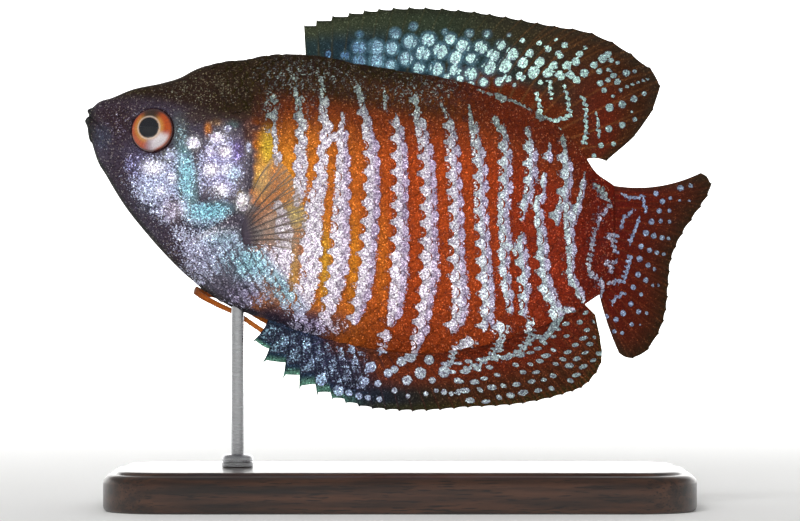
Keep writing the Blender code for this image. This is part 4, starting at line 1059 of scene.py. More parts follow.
def eye(name, side, rings=72, around=160):
    """One flattened ball, as rings from the middle of its front to the middle of its back."""
    centre, out, aside, up = eye_axes(side)
    backwards = aside * np.sign(aside[0])
    tilt = np.linspace(0, math.pi, rings + 1)[1:-1]
    turn = np.linspace(0, 2 * math.pi, around, endpoint=False)
    flat = backwards[None] * np.cos(turn)[:, None] + up[None] * np.sin(turn)[:, None]
    wide, deep = EYE_RADIUS * np.sin(tilt), EYE_HALF_DEPTH * np.cos(tilt)
    points = (centre + out * deep[:, None, None] + flat[None] * wide[:, None, None]).reshape(-1, 3)
    points = np.vstack([points, centre + out * EYE_HALF_DEPTH, centre - out * EYE_HALF_DEPTH])
    facing = 1 if side > 0 else -1
    made = build_mesh(name, place(points), *(faces[:, ::facing] for faces in tube_faces(rings - 1, around)))
    offset = points - centre
    colour = eye_colour(offset @ backwards, offset @ up)
    give_colours(made, colour, colour, 0.0, 0.0)
    return made


cornea = eye_material()
for name, side in (("eye_l", -1), ("eye_r", 1)):
    ball = eye(f"{name}_glass", side)
    ball.data.materials.append(cornea)
    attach(ball, "root")
    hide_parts(name)


# Scales
# Overlapping rounded scales cast over the flanks in columns that follow the pale bars, each lifted a little
# at its free rear edge. They are laid in rows by their distance round the body from a line along its middle.
BAR_COLUMNS_HIGH = [20.6, 24.0, 27.1, 30.0, 32.8, 36.0, 39.4, 42.8, 46.2, 49.6, 52.9, 56.2, 60.0, 63.4]
BAR_COLUMNS_MIDDLE = [20.4, 23.6, 26.0, 28.8, 32.3, 36.0, 39.8, 43.5, 46.8, 50.0, 53.0, 56.2, 60.0, 63.6]
BAR_COLUMNS_LOW = [18.0, 21.0, 24.2, 27.0, 30.3, 34.4, 38.8, 42.6, 46.8, 50.6, 54.2, 57.6, 61.0, 64.2]
COLUMN_STEP = 3.2
ROW_STEP = 1.05
SCALE_LENGTH = 2.7
SCALE_HALF_HEIGHT = 1.12
SCALE_LIFT = 0.075
SCALE_SUNK = 0.14
SCALES_SPLIT_AT = 38.0
SCALE_ROWS, SCALE_COLUMNS = range(-22, 23), range(-8, 28)
SCALES_START = ([14, 17, 21, 25, 30, 36, 38, 45], [12.6, 13.4, 15.8, 20.2, 21.8, 21.5, 18.0, 15.4])
SCALES_END = 65.6
ARC_REACH = 24.0
STATION_COUNT, ARC_COUNT, FLANK_STEPS = 420, 560, 500


def middle_line(x):
    """Height of the line along the flank from which the rows of scales are counted."""
    return 26.2 - 0.06 * (x - 20)


def section_table():
    """Places round the body's left half: stations, distances from its middle, and z, y and ends at each."""
    stations = np.linspace(8.0, BODY_END, STATION_COUNT)
    arcs = np.linspace(-ARC_REACH, ARC_REACH, ARC_COUNT)
    z_rows, y_rows, limits = [], [], []
    for x in stations:
        y, z, length = (values[::-1] for values in section(x, FLANK_STEPS))
        length = length[0] - length
        length = length - np.interp(middle_line(x), z, length)
        z_rows.append(np.interp(arcs, length, z))
        y_rows.append(np.interp(arcs, length, y))
        limits.append((length[0], length[-1]))
    return stations, arcs, np.array(z_rows), np.array(y_rows), np.array(limits)


STATIONS, ARCS, SECTION_Z, SECTION_Y, ARC_LIMITS = section_table()


def on_section(x, arc):
    """The (y, z) of places on the left flank by their x and their distance round the body from its middle."""
    i = np.clip((x - STATIONS[0]) / (STATIONS[1] - STATIONS[0]), 0, len(STATIONS) - 1.001)
    k = np.clip((arc - ARCS[0]) / (ARCS[1] - ARCS[0]), 0, len(ARCS) - 1.001)
    i0, k0 = i.astype(int), k.astype(int)
    a, b = i - i0, k - k0
    found = []
    for table in (SECTION_Y, SECTION_Z):
        low = table[i0, k0] * (1 - b) + table[i0, k0 + 1] * b
        high = table[i0 + 1, k0] * (1 - b) + table[i0 + 1, k0 + 1] * b
        found.append(low * (1 - a) + high * a)
    return found


def column_x(number, z):
    """Where a column of scales crosses a height; whole numbers from 0 lie on the pale bars."""
    places = np.arange(len(BAR_COLUMNS_HIGH)) - 1
    crossings = []
    for line in (BAR_COLUMNS_LOW, BAR_COLUMNS_MIDDLE, BAR_COLUMNS_HIGH):
        inside = np.interp(number, places, line)
        before, after = np.minimum(number - places[0], 0), np.maximum(number - places[-1], 0)
        crossings.append(inside + COLUMN_STEP * (before + after))
    low, middle, high = crossings
    return np.where(z < 24, low + (middle - low) * (z - 12) / 12, middle + (high - middle) * (z - 24) / 12)


def arc_limits(x):
    """How far the flank reaches below and above its middle line at a station."""
    return (float(np.interp(x, STATIONS, ARC_LIMITS[:, end])) for end in (0, 1))


def scale_centres():
    """Places (x, arc) of the scales' middles on one flank, row by row."""
    centres = []
    for row in SCALE_ROWS:
        arc = row * ROW_STEP
        for step in SCALE_COLUMNS:
            number = step / 2 + (0.25 if row % 2 else 0.0)
            x, z = 30.0, 26.0 + arc
            for _ in range(4):
                x = float(column_x(number, z))
                z = float(on_section(np.array(x), np.array(arc))[1])
            low, high = arc_limits(x)
            neck = np.interp(z, *SCALES_START)
            if neck <= x <= SCALES_END and low + 0.45 <= arc <= high - 0.35:
                centres.append((x, arc))
    return centres


def grid_rim(rows, columns):
    """The points round the edge of a grid, in order."""
    return np.concatenate([
        np.arange(columns), np.arange(1, rows) * columns + columns - 1,
        (rows - 1) * columns + np.arange(columns - 2, -1, -1), np.arange(rows - 2, 0, -1) * columns,
    ])


LEAF_ROWS, LEAF_COLUMNS = 11, 9
LEAF_FACE = LEAF_ROWS * LEAF_COLUMNS
LEAF_MIDDLE = LEAF_FACE // 2
LEAF_RIM = grid_rim(LEAF_ROWS, LEAF_COLUMNS)
LEAF_ALONG, LEAF_ASIDE = np.meshgrid(
    np.linspace(0, 1, LEAF_ROWS), np.linspace(-1, 1, LEAF_COLUMNS), indexing="ij"
)
LEAF_ROUND = np.sqrt(np.clip(1 - np.abs(LEAF_ASIDE) ** 2.4, 0, 1))
LEAF_REACH = -0.5 + LEAF_ALONG * (0.62 + 0.38 * LEAF_ROUND)
LEAF_WIDTH = 0.72 + 0.28 * np.sin(np.pi * np.clip(LEAF_ALONG * 0.9 + 0.1, 0, 1))


def over_leaf(on_face, elsewhere):
    """One value for each point of a scale: its face, then the rim and middle of its back."""
    return np.concatenate([np.ravel(on_face), np.full(len(LEAF_RIM) + 1, elsewhere)])


def flank_normals(x, arc, y, z, step=0.15):
    """The way out of the left flank at places on it, by the flank a small step behind and above each."""
    y_back, z_back = on_section(x + step, arc)
    y_up, z_up = on_section(x, arc + step)
    back_way = np.stack([np.full(x.shape, step), y - y_back, z_back - z], -1)
    up_way = np.stack([np.zeros(x.shape), y - y_up, z_up - z], -1)
    out = np.cross(back_way, up_way)
    out /= np.linalg.norm(out, axis=2)[..., None] + 1e-9
    return out * np.where(out[..., 1:2] > 0, -1, 1)


def scale_leaf(x0, arc0, rng):
    """One scale as a closed leaf: a curved face, and a flat back inside the skin."""
    size = 1 + 0.05 * rng.standard_normal()
    lean = 0.10 * rng.standard_normal()
    fall = 0.72 + 0.28 * ease(64.0 - x0, 0.0, 10.0)
    x = x0 + (LEAF_REACH * SCALE_LENGTH * fall + lean * LEAF_ASIDE * 0.3) * size
    arc = arc0 + (LEAF_ASIDE * LEAF_WIDTH * SCALE_HALF_HEIGHT * fall + lean * LEAF_REACH * 0.6) * size
    low, high = arc_limits(x0)
    arc = np.clip(arc, low + 0.02, high - 0.02)
    y, z = on_section(x, arc)
    out = flank_normals(x, arc, y, z)
    lift = (SCALE_LIFT + SCALE_SUNK) * ease(LEAF_ALONG, 0.0, 0.9) - SCALE_SUNK
    lift = lift + 0.05 * (1 - LEAF_ASIDE**2) * ease(LEAF_ALONG, 0.1, 0.6)
    lift = lift * (1 - 0.35 * (LEAF_ALONG > 0.97)) + 0.025 * rng.standard_normal() * LEAF_ALONG
    face = (np.stack([x, -y, z], -1) + out * lift[..., None]).reshape(-1, 3)
    down = (lift.ravel()[LEAF_RIM] + SCALE_SUNK + 0.06)[:, None]
    sunk = face[LEAF_RIM] - out.reshape(-1, 3)[LEAF_RIM] * down
    return np.vstack([face, sunk, sunk.mean(0)])


def leaf_colours(leaf, x0, rng):
    """What give_colours() stores for one scale: painted shade darkens its free edge, where it is also less
    pale, and a painted highlight brightens its pale tint towards that edge.
    """
    x, _, z = leaf.T
    at_edge = over_leaf(ease(LEAF_ALONG, 0.86, 1.0), 1.0)
    drop = 0.32 + 0.3 * float(ease(x0, 34.0, 48.0))
    middle_depth = float(mark_depth(np.array([x0 + 0.4]), z[LEAF_MIDDLE:LEAF_MIDDLE + 1])[0])
    depth = 0.62 * mark_depth(x, z) + 0.38 * middle_depth - drop * at_edge
    bright = 1 + 0.07 * rng.standard_normal()
    # Painted shade darkens the free edge, more so further below the back.
    edge_painted_shade = 0.1 + 0.26 * float(ease(back(x0) - z[LEAF_MIDDLE], 3.0, 11.0))
    shade = bright * (1 - edge_painted_shade * at_edge)
    # Painted highlight: the pale tint brightens towards the free edge, and dims under the painted shade.
    tint_painted_light = (0.62 + 0.46 * over_leaf(ease(LEAF_ALONG, 0.35, 0.8), 1.0)) * (0.3 + 0.7 * shade)
    ground, tint = ground_colour(x, z) * shade[:, None], tint_colour(x, z) * tint_painted_light[:, None]
    return ground, tint, depth + over_leaf(np.full(LEAF_FACE, 0.03), 0.0), grit_amount(x, z)


def leaf_faces(count):
    """Faces of so many scales whose points are stored one scale after the other."""
    steps = np.arange(len(LEAF_RIM))
    ahead = (steps + 1) % len(LEAF_RIM)
    middle = LEAF_FACE + len(LEAF_RIM)
    skirt = np.stack([LEAF_RIM[steps], LEAF_RIM[ahead], LEAF_FACE + ahead, LEAF_FACE + steps], 1)
    under = np.stack([LEAF_FACE + steps, LEAF_FACE + ahead, np.full(len(steps), middle)], 1)
    quads = np.vstack([grid_quads(LEAF_ROWS, LEAF_COLUMNS), skirt])
    shifts = (np.arange(count) * (middle + 1))[:, None, None]
    return [(faces[:, ::-1] + shifts).reshape(-1, faces.shape[1]) for faces in (quads, under)]


def scales(name, side, centres, seed):
    """Many scales as one mesh, each laid out flat for baking in its own small square."""
    rng = np.random.default_rng(seed)
    leaves, pigments = [], []
    for x0, arc0 in centres:
        leaves.append(scale_leaf(x0, arc0, rng))
        pigments.append(leaf_colours(leaves[-1], x0, rng))
    points, faces = np.vstack(leaves), leaf_faces(len(leaves))
    if side > 0:
        points, faces = points * (1, -1, 1), [each[:, ::-1] for each in faces]
    made = build_mesh(name, place(points), *faces)
    give_colours(made, *(np.concatenate(layer) for layer in zip(*pigments)))
    x, arc = np.array(centres).T[:, :, None]
    squares = []
    for corner, spread in (
        (x / 70.0, LEAF_ALONG.ravel()),
        ((arc + ARC_REACH) / (2 * ARC_REACH), LEAF_ASIDE.ravel() / 2 + 0.5),
    ):
        squares.append(corner + 0.003 * np.concatenate([spread, spread[LEAF_RIM], [0.5]]))
    give_bake_map(made, *squares)
    return made


scale_finish = stored_colour_material("scale_paint", 0.46, 0.05, rag=0.34, outline=0.4, sparkle=0.3)
all_centres = scale_centres()
for name, side, seed in (("l", -1, 3), ("r", 1, 7)):
    for part, chosen in (
        ("front", [c for c in all_centres if c[0] < SCALES_SPLIT_AT]),
        ("rear", [c for c in all_centres if c[0] >= SCALES_SPLIT_AT]),
    ):
        coat = scales(f"scales_{part}_{name}", side, chosen, seed + len(chosen))
        coat.data.materials.append(scale_finish)
        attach(coat, "root")


# Fins
# Each fin is one thin web of skin over bony rays, cast as a closed sheet with the rays raised on both faces.
# Spines stand past the web in front, and soft rays behind them fork towards the margin. The web has rows of
# pale spots.
DORSAL_RAYS = [
    (0, 27.6, 27.4, 49.2, 0.0), (1, 29.3, 29.0, 49.9, 0.0), (3, 32.5, 33.2, 50.8, 0.0),
    (6, 37.4, 38.8, 51.4, -0.2), (10, 43.6, 47.0, 51.1, -0.4), (13, 48.0, 53.0, 50.2, -0.6),
    (16, 52.2, 59.2, 49.0, -0.8), (18, 55.0, 64.0, 48.1, -1.0), (20, 57.8, 69.0, 45.5, -0.9),
    (22, 60.3, 72.7, 41.4, -0.4), (23, 61.5, 71.8, 38.4, 0.0), (24, 62.6, 69.4, 35.0, 0.3),
    (25, 63.5, 65.8, 31.8, 0.2),
]
ANAL_RAYS = [
    (0, 22.8, 20.8, 8.9, 0.2), (1, 24.1, 22.1, 6.1, 0.3), (2, 25.5, 24.7, 4.1, 0.3),
    (3, 26.9, 26.8, 2.7, 0.2), (4, 28.3, 29.1, 2.0, 0.1), (7, 32.4, 34.4, 0.6, 0.2),
    (11, 38.0, 41.2, 0.0, 0.3), (15, 43.6, 48.2, 0.5, 0.4), (19, 49.2, 55.2, 1.0, 0.5),
    (22, 53.2, 60.2, 2.1, 0.5), (25, 57.0, 63.6, 3.7, 0.3), (27, 59.5, 65.2, 6.2, 0.1),
    (29, 62.0, 65.0, 9.5, 0.0), (30, 63.2, 64.4, 12.3, 0.0),
]
CAUDAL_RAYS = [
    (0, (64.9, 29.1), 77.8, 30.35, 1.2), (0.5, (64.9, 28.65), 78.8, 30.0, 1.15),
    (1, (64.9, 28.2), 79.2, 29.0, 1.1), (2, (64.9, 27.3), 78.8, 27.5, 0.9),
    (3, (64.9, 26.4), 77.9, 26.0, 0.7), (5, (64.9, 24.6), 75.6, 22.6, 0.4),
    (7, (64.9, 22.8), 74.2, 19.4, 0.1), (9, (64.9, 20.9), 73.8, 16.2, -0.1),
    (11, (64.9, 19.0), 73.5, 13.0, -0.2), (13, (64.9, 17.2), 72.5, 9.9, -0.3),
    (14, (64.9, 16.3), 71.2, 7.9, -0.3), (14.5, (64.9, 15.9), 70.3, 7.1, -0.3),
    (15, (64.9, 15.5), 69.2, 6.75, -0.3), (15.5, (64.9, 15.1), 68.2, 6.8, -0.25),
    (16, (64.9, 14.8), 67.4, 7.4, -0.2),
]
DORSAL_SPINES = [0.2, 0.2, 0.14, 0.1, 0.08, 0.06, 0.05, 0.04, 0.03, 0.03, 0.03, 0.02, 0.02, 0.02, 0.02, 0.02]
ANAL_SPINES = [0.4, 0.4, 0.34, 0.27, 0.2, 0.13, 0.08, 0.05, 0.03, 0.03, 0.03, 0.03, 0.03, 0.02, 0.02, 0.02]
SOFT_CUT = 0.012
ROOT_GAP = 0.3
ROOT_SUNK = 0.8
WEB_HALF, WEB_EDGE_HALF = 0.075, 0.05
RAY_HALF, RAY_END_HALF = 0.19, 0.085
ROOT_HALF = 0.46
BETWEEN_RAYS = [0.0, 0.035, 0.08, 0.14, 0.22, 0.33, 0.5, 0.67, 0.78, 0.86, 0.92, 0.965]


def through(points, places):
    """A curve through points, as a function that reaches each at its place."""
    axes = [smooth(list(zip(places, values))) for values in zip(*points)]
    return lambda t: np.array([axis(t) for axis in axes])


def ray_curves(rays, root_of):
    """Root line, line of middles and margin of a fin, by ray number, from the rays that set its shape."""
    roots, middles, tips = [], [], []
    for _, where, x, z, bow in rays:
        root, tip = np.array(root_of(where), float), np.array([x, z])
        along = tip - root
        across = np.array([along[1], -along[0]]) / np.linalg.norm(along)
        across *= 1 if across[0] >= 0 else -1
        roots.append(root)
        middles.append((root + tip) / 2 + across * bow)
        tips.append(tip)
    numbers = [ray[0] for ray in rays]
    return through(roots, numbers), through(middles, numbers), through(tips, numbers)


def margin_reach(number, spines, count):
    """How far the web reaches along a ray or between rays, as a share of the ray."""
    cuts = np.array(list(spines) + [SOFT_CUT] * count)[:count]
    i = np.clip(np.floor(number + 1e-6).astype(int), 0, count - 2)
    f = np.clip(number - i, 0, 1)
    sag = 0.3 * cuts[i] * (1 - f) + cuts[i + 1] * f + 0.012 * np.sin(np.pi * f)
    return 1 - sag * ease(f, 0.0, 0.07) * ease(1 - f, 0.0, 0.07)


def fin_grid(rays, root_of, spines, rows):
    """Places over a fin: ray number, share of the way to the margin, distance along the ray, x and z."""
    root, middle, tip = ray_curves(rays, root_of)
    count = rays[-1][0] + 1
    number = np.concatenate([i + np.array(BETWEEN_RAYS) for i in range(count - 1)] + [[count - 1.0]])[:, None]
    share = np.concatenate([[-0.05, -0.02], np.linspace(0, 1, rows - 2)])[None, :]
    length = np.linalg.norm(tip(number) - root(number), axis=0)
    s = np.where(share < 0, share * ROOT_SUNK / 0.05 / length, share * margin_reach(number, spines, count))
    lower = root(number) * (1 - s) * (1 - 2 * s) + middle(number) * 4 * s * (1 - s)
    x, z = lower + tip(number) * s * (2 * s - 1)
    return number, share, s, s * length, x, z


def fin_thickness(number, share, s, height, spacing, soft, root_half):
    """Half a fin's thickness, and 1 on the crest of each ray falling to 0 between the rays."""
    aside = np.abs(number - np.round(number)) * spacing
    fork = 0.2 * spacing * ease(s, 0.42, 1.0) * soft
    thick = RAY_HALF + (RAY_END_HALF - RAY_HALF) * np.clip(s, 0, 1)
    ridge_at = bump_at(aside, 0.55 * thick + 0.05, fork)
    web = WEB_HALF + (WEB_EDGE_HALF - WEB_HALF) * np.clip(s, 0, 1) ** 2
    knuckles = 1 + 0.10 * np.sin(height * 15.0) * soft
    half = web + (thick * knuckles - web) * ridge_at
    half = half + (root_half - half) * np.clip(1 - s / 0.16, 0, 1) ** 1.5
    return half * np.sqrt(np.clip((1.004 - share) / 0.03, 0.12, 1)), ridge_at


def sheet_faces(rows, columns):
    """Faces of two like grids of points, one on each side of a sheet, joined round their rim."""
    size = rows * columns
    quads, rim = grid_quads(rows, columns), grid_rim(rows, columns)
    beyond = np.roll(rim, -1)
    return np.vstack([quads, quads[:, ::-1] + size, np.stack([rim, beyond, beyond + size, rim + size], 1)])


def fin_sheet(name, rays, root_of, place_at, spines, first_soft, paint, root_half=ROOT_HALF, rows=64):
    """A fin as one closed sheet; paint() gives its pigments from where each point is on the web."""
    number, share, s, height, x, z = fin_grid(rays, root_of, spines, rows)
    spacing = np.hypot(np.gradient(x, axis=0), np.gradient(z, axis=0)) / np.gradient(number[:, 0])[:, None]
    soft = np.round(number) >= first_soft
    half, ridge_at = fin_thickness(number, share, s, height, spacing, soft, root_half)
    across = number / number[-1]
    centre = place_at(x, z, s, across)
    near, far = (np.stack([x, centre + way * half, z], -1).reshape(-1, 3) for way in (-1, 1))
    made = build_mesh(name, place(np.vstack([near, far])), sheet_faces(*x.shape))
    numbers, shares = np.broadcast_to(number, x.shape), np.clip(np.broadcast_to(share, x.shape), 0, 1)
    ground, tint, pale, grit = paint(numbers, shares, height, ridge_at, spacing, x, z)
    ground, tint = (np.tile(a.reshape(-1, 3), (2, 1)) for a in (ground, tint))
    give_colours(made, ground, tint, np.tile(pale.ravel(), 2), np.tile(grit.ravel(), 2))
    u = np.broadcast_to(across * 0.49, x.shape).ravel()
    give_bake_map(made, np.concatenate([u, u + 0.51]), np.tile(shares.ravel(), 2))
    return made


def spot_depth(number, height, spacing, spots):
    """How deep places lie in the nearest spot, each (ray number, height, reach across, reach along)."""
    depth = np.zeros(number.shape)
    for at, level, across, along in spots:
        far = np.hypot((number - at) * spacing / across, (height - level) / along)
        depth = np.maximum(depth, 1 - 0.5 * far)
    return depth


def on_back(x):
    """The root of a dorsal ray, just above the back."""
    return x, float(back(x)) + ROOT_GAP


def on_belly(x):
    """The root of an anal ray, just below the belly."""
    return x, float(belly(x)) - ROOT_GAP


def wave(height, turns):
    """A soft ripple that grows from the root of a fin to its margin."""
    return lambda x, z, s, t: height * np.sign(s) * s**2 * np.sin(2 * np.pi * turns * t)


def shades(*stops):
    """Linear colours by place, from (place, colour) stops."""
    places = [stop[0] for stop in stops]
    colours = np.array([linear(*stop[1]) for stop in stops])
    return lambda at: np.stack([np.interp(at, places, colours[:, c]) for c in range(3)], -1)


DORSAL_SPOTS = [
    (30.6, 45.4, 0.45), (32.6, 45.2, 0.5), (34.5, 47.9, 0.35), (34.4, 46.2, 0.75), (34.4, 44.5, 0.7),
    (36.6, 46.2, 0.8), (36.7, 44.4, 0.85), (38.5, 43.9, 0.65), (39.0, 48.0, 0.55), (38.6, 46.1, 0.72),
    (40.9, 46.9, 0.75), (40.4, 44.8, 0.75), (41.3, 48.9, 0.4), (43.2, 47.2, 0.75), (42.5, 45.5, 0.8),
    (42.0, 43.6, 0.65), (44.7, 45.8, 0.82), (44.2, 43.5, 0.75), (46.0, 47.3, 0.6), (45.3, 48.2, 0.3),
    (46.7, 44.9, 0.78), (46.6, 43.3, 0.65), (47.6, 46.4, 0.76), (48.4, 48.0, 0.4), (48.7, 44.8, 0.62),
    (48.6, 42.9, 0.72), (49.9, 46.2, 0.72), (50.7, 47.9, 0.42), (51.4, 45.2, 0.72), (50.9, 43.7, 0.8),
    (52.2, 41.9, 0.5), (47.2, 42.2, 0.4), (48.6, 41.5, 0.4), (45.4, 42.4, 0.4), (50.2, 41.8, 0.5),
    (52.4, 46.5, 0.55), (53.8, 45.4, 0.75), (52.9, 43.9, 0.85), (55.1, 44.3, 0.66), (55.1, 47.1, 0.3),
    (56.0, 45.5, 0.5), (57.2, 46.8, 0.33), (57.3, 44.4, 0.6), (58.3, 46.1, 0.45), (56.6, 43.0, 0.75),
    (58.3, 43.0, 0.6), (59.0, 44.0, 0.55), (59.8, 45.3, 0.5), (60.5, 46.5, 0.4), (59.4, 47.2, 0.25),
    (53.4, 47.8, 0.25), (59.9, 42.7, 0.6), (60.8, 43.9, 0.55), (61.9, 44.4, 0.5), (62.4, 45.4, 0.42),
    (63.1, 46.2, 0.27), (61.2, 42.8, 0.45), (62.0, 42.1, 0.45), (63.0, 43.0, 0.5), (64.2, 44.0, 0.45),
    (65.3, 44.8, 0.5), (66.0, 45.4, 0.42), (64.9, 43.2, 0.35), (66.4, 44.6, 0.3), (67.2, 44.3, 0.25),
    (66.0, 43.4, 0.25), (65.5, 40.8, 0.33), (65.0, 41.7, 0.38), (66.7, 42.7, 0.38), (67.2, 41.9, 0.38),
    (66.0, 42.1, 0.3), (68.3, 43.0, 0.42), (69.4, 43.2, 0.25), (67.6, 40.8, 0.28), (68.4, 41.3, 0.24),
    (69.1, 41.6, 0.22), (69.8, 41.8, 0.2), (70.5, 42.0, 0.2), (66.6, 40.1, 0.25), (66.2, 38.6, 0.48),
    (67.8, 39.0, 0.45), (69.3, 39.7, 0.4), (70.6, 40.4, 0.28), (66.1, 35.9, 0.4), (67.8, 36.4, 0.38),
    (69.4, 37.1, 0.28), (69.0, 38.1, 0.18), (65.1, 33.8, 0.32), (66.7, 34.0, 0.28), (64.2, 32.5, 0.28),
    (53.2, 42.3, 0.5), (54.9, 42.5, 0.55), (57.4, 41.8, 0.3), (54.2, 41.4, 0.3), (71.0, 42.3, 0.2),
]


def round_spots(x, z, spots):
    """How deep places lie in the nearest of some round spots, each (x, z, half its width)."""
    depth = np.zeros(np.shape(x))
    for at_x, at_z, half in spots:
        depth = np.maximum(depth, 1 - 0.5 * np.hypot(x - at_x, z - at_z) / half)
    return depth


DORSAL_LOW = shades(
    (27, (44, 60, 58)), (34, (32, 54, 68)), (42, (34, 54, 60)), (52, (38, 54, 50)), (60, (62, 44, 30)),
    (66, (108, 34, 16)),
)
DORSAL_HIGH = shades(
    (27, (68, 74, 54)), (45, (52, 62, 46)), (56, (58, 50, 32)), (66, (68, 38, 18)), (73, (62, 32, 14)),
)
DORSAL_TINT = shades(
    (27, (54, 82, 110)), (33, (88, 128, 158)), (38, (138, 178, 190)), (46, (188, 230, 222)),
    (58, (184, 224, 208)), (64, (152, 184, 176)), (72, (116, 136, 138)),
)
DORSAL_ROOT, DORSAL_EDGE, RAY_OLIVE, RAY_TAN = (100, 42, 18), (40, 40, 30), (78, 72, 46), (132, 80, 44)
SPOT_TEAL, HALO_BLUE = (44, 74, 92), (104, 152, 172)


def paint_dorsal(number, share, height, ridge_at, spacing, x, z):
    """Teal in front and red behind, with rows of pale spots and a soft glow round those in front."""
    ground = mixed(DORSAL_LOW(x), DORSAL_HIGH(x), ease(share, 0.3, 0.8))
    ground = mixed(ground, linear(*DORSAL_ROOT), ease(x, 44, 50) * (1 - ease(share, 0.08, 0.24)))
    ground = mixed(ground, linear(*DORSAL_EDGE), ease(share, 0.82, 0.98) * 0.6)
    bare = mixed(linear(*RAY_OLIVE), linear(*RAY_TAN), ease(x, 48, 60))
    ground = mixed(ground, bare, 0.6 * ridge_at * (1 - 0.5 * share))
    spots_end = np.interp(x, [30, 40, 52, 62], [46.6, 47.4, 47.0, 47.6])
    tint = mixed(DORSAL_TINT(x), linear(*SPOT_TEAL), 0.75 * ease(z - spots_end, 0.0, 1.2))
    spots = round_spots(x, z, DORSAL_SPOTS)
    halo = ease(spots, 0.1, 0.5) * ease(56 - x, 0, 10) * ease(x, 31, 35)
    ground = mixed(ground, linear(*HALO_BLUE), 0.7 * halo)
    pale = (spots + 0.07) / 1.07 - 0.3 * ridge_at * ease(64 - x, 0, 6)
    return ground, tint, np.maximum(pale, mark_depth(x, z) * (share < 0.35)), np.full(x.shape, 0.55)


ANAL_PATCHES = [
    (33.5, 8.7, 0.4), (33.5, 7.8, 0.35), (37.7, 9.7, 0.4), (37.4, 8.3, 0.7), (35.9, 5.7, 0.55),
    (38.1, 4.9, 0.45), (38.9, 5.4, 0.4), (39.8, 6.4, 0.5), (40.9, 7.0, 0.6), (43.3, 6.6, 0.5),
    (42.2, 4.9, 0.6), (40.5, 4.0, 0.5), (43.7, 4.0, 0.35), (45.2, 5.1, 0.6), (46.8, 4.0, 0.3),
    (45.2, 2.5, 0.3), (47.0, 2.5, 0.3), (46.1, 2.3, 0.25), (42.9, 2.3, 0.25), (38.9, 2.7, 0.3),
    (29.6, 4.0, 0.6), (31.8, 2.7, 0.55), (33.1, 2.4, 0.35), (34.4, 2.0, 0.35), (35.5, 1.8, 0.3),
    (37.0, 1.6, 0.3), (40.6, 2.0, 0.25), (44.2, 2.7, 0.25), (35.2, 3.9, 0.4), (36.8, 3.6, 0.35),
]


def anal_spots():
    """Pale patches between the rear anal rays, in wavy broken rows beside the margin."""
    rng = np.random.default_rng(23)
    spots = []
    for gap in range(15, 30):
        length = np.interp(gap, [13, 17, 21, 24, 27, 29], [8.6, 9.2, 10.0, 9.6, 7.4, 3.6])
        from_margin = np.interp(gap, [12, 29], [1.9, 1.3]) + 0.25 * math.sin(gap * 1.1)
        while length - from_margin > 0.4:
            longer, wider, aside, down = rng.uniform(-1, 1, 4)
            along = np.interp(gap, [12, 20, 29], [0.38, 0.32, 0.27]) * (1 + 0.25 * longer)
            across = np.interp(gap, [12, 20, 29], [0.55, 0.46, 0.34]) * (1 + 0.4 * wider)
            if aside > -0.8:
                spots.append((gap + 0.5 + 0.1 * aside, length - from_margin + 0.2 * down, across, along))
            from_margin += np.interp(gap, [8, 29], [1.5, 1.4])
    return spots


ANAL_SPOTS = anal_spots()
ANAL_LOW = shades(
    (21, (40, 62, 78)), (30, (52, 62, 92)), (34.5, (54, 50, 66)), (37, (120, 54, 26)), (44, (124, 50, 24)),
    (50, (112, 40, 18)), (64, (104, 34, 16)),
)
ANAL_HIGH = shades(
    (21, (34, 56, 70)), (31, (42, 54, 78)), (38, (36, 40, 48)), (43, (46, 40, 30)), (48, (70, 40, 20)),
    (65, (72, 36, 16)),
)
ANAL_BARE = shades((21, (18, 24, 34)), (34, (30, 34, 48)), (44, (92, 46, 34)), (65, (120, 60, 34)))
ANAL_TINT = shades(
    (21, (124, 164, 176)), (29, (156, 186, 208)), (35, (164, 182, 206)), (40, (184, 196, 204)),
    (50, (160, 176, 176)), (65, (130, 150, 148)),
)
ANAL_ROOT, ANAL_TIP_GREEN, ANAL_EDGE = (112, 58, 34), (104, 156, 132), (52, 50, 20)


def paint_anal(number, share, height, ridge_at, spacing, x, z):
    """Flecked navy with green tips in front, then rust red with rows of pale patches."""
    ground = mixed(ANAL_LOW(x), ANAL_HIGH(x), ease(share, 0.3, 0.75))
    rusty_root = ease(x, 29.0, 31.5) * (1 - ease(share, 0.05, 0.3)) * ease(39 - x, 0, 3)
    ground = mixed(ground, linear(*ANAL_ROOT), 0.8 * rusty_root)
    ground = mixed(ground, linear(*ANAL_TIP_GREEN), 0.8 * ease(share, 0.8, 0.97) * ease(36 - x, 0, 6))
    ground = mixed(ground, linear(*ANAL_EDGE), 0.65 * ease(share, 0.84, 0.97) * ease(x, 32, 38))
    ground = mixed(ground, ANAL_BARE(x), 0.55 * ridge_at)
    patches = (round_spots(x, z, ANAL_PATCHES) + 0.2) / 1.2
    spots = np.maximum(spot_depth(number, height, spacing, ANAL_SPOTS), patches)
    flecked = 0.50 * ease(38.5 - x, 0, 3.5) * ease(share, -0.1, 0.05) * ease(0.9 - share, 0, 0.2)
    flecked -= (0.08 + 0.08 * ease(x, 22, 26)) * ridge_at
    flecked -= 0.025 * (1 + np.sin(2.2 * height + 4.2 * number))
    pale = np.maximum(spots, np.maximum(flecked, mark_depth(x, z)))
    return ground, ANAL_TINT(x), pale, 0.75 + 0.45 * ease(38 - x, 0, 5)


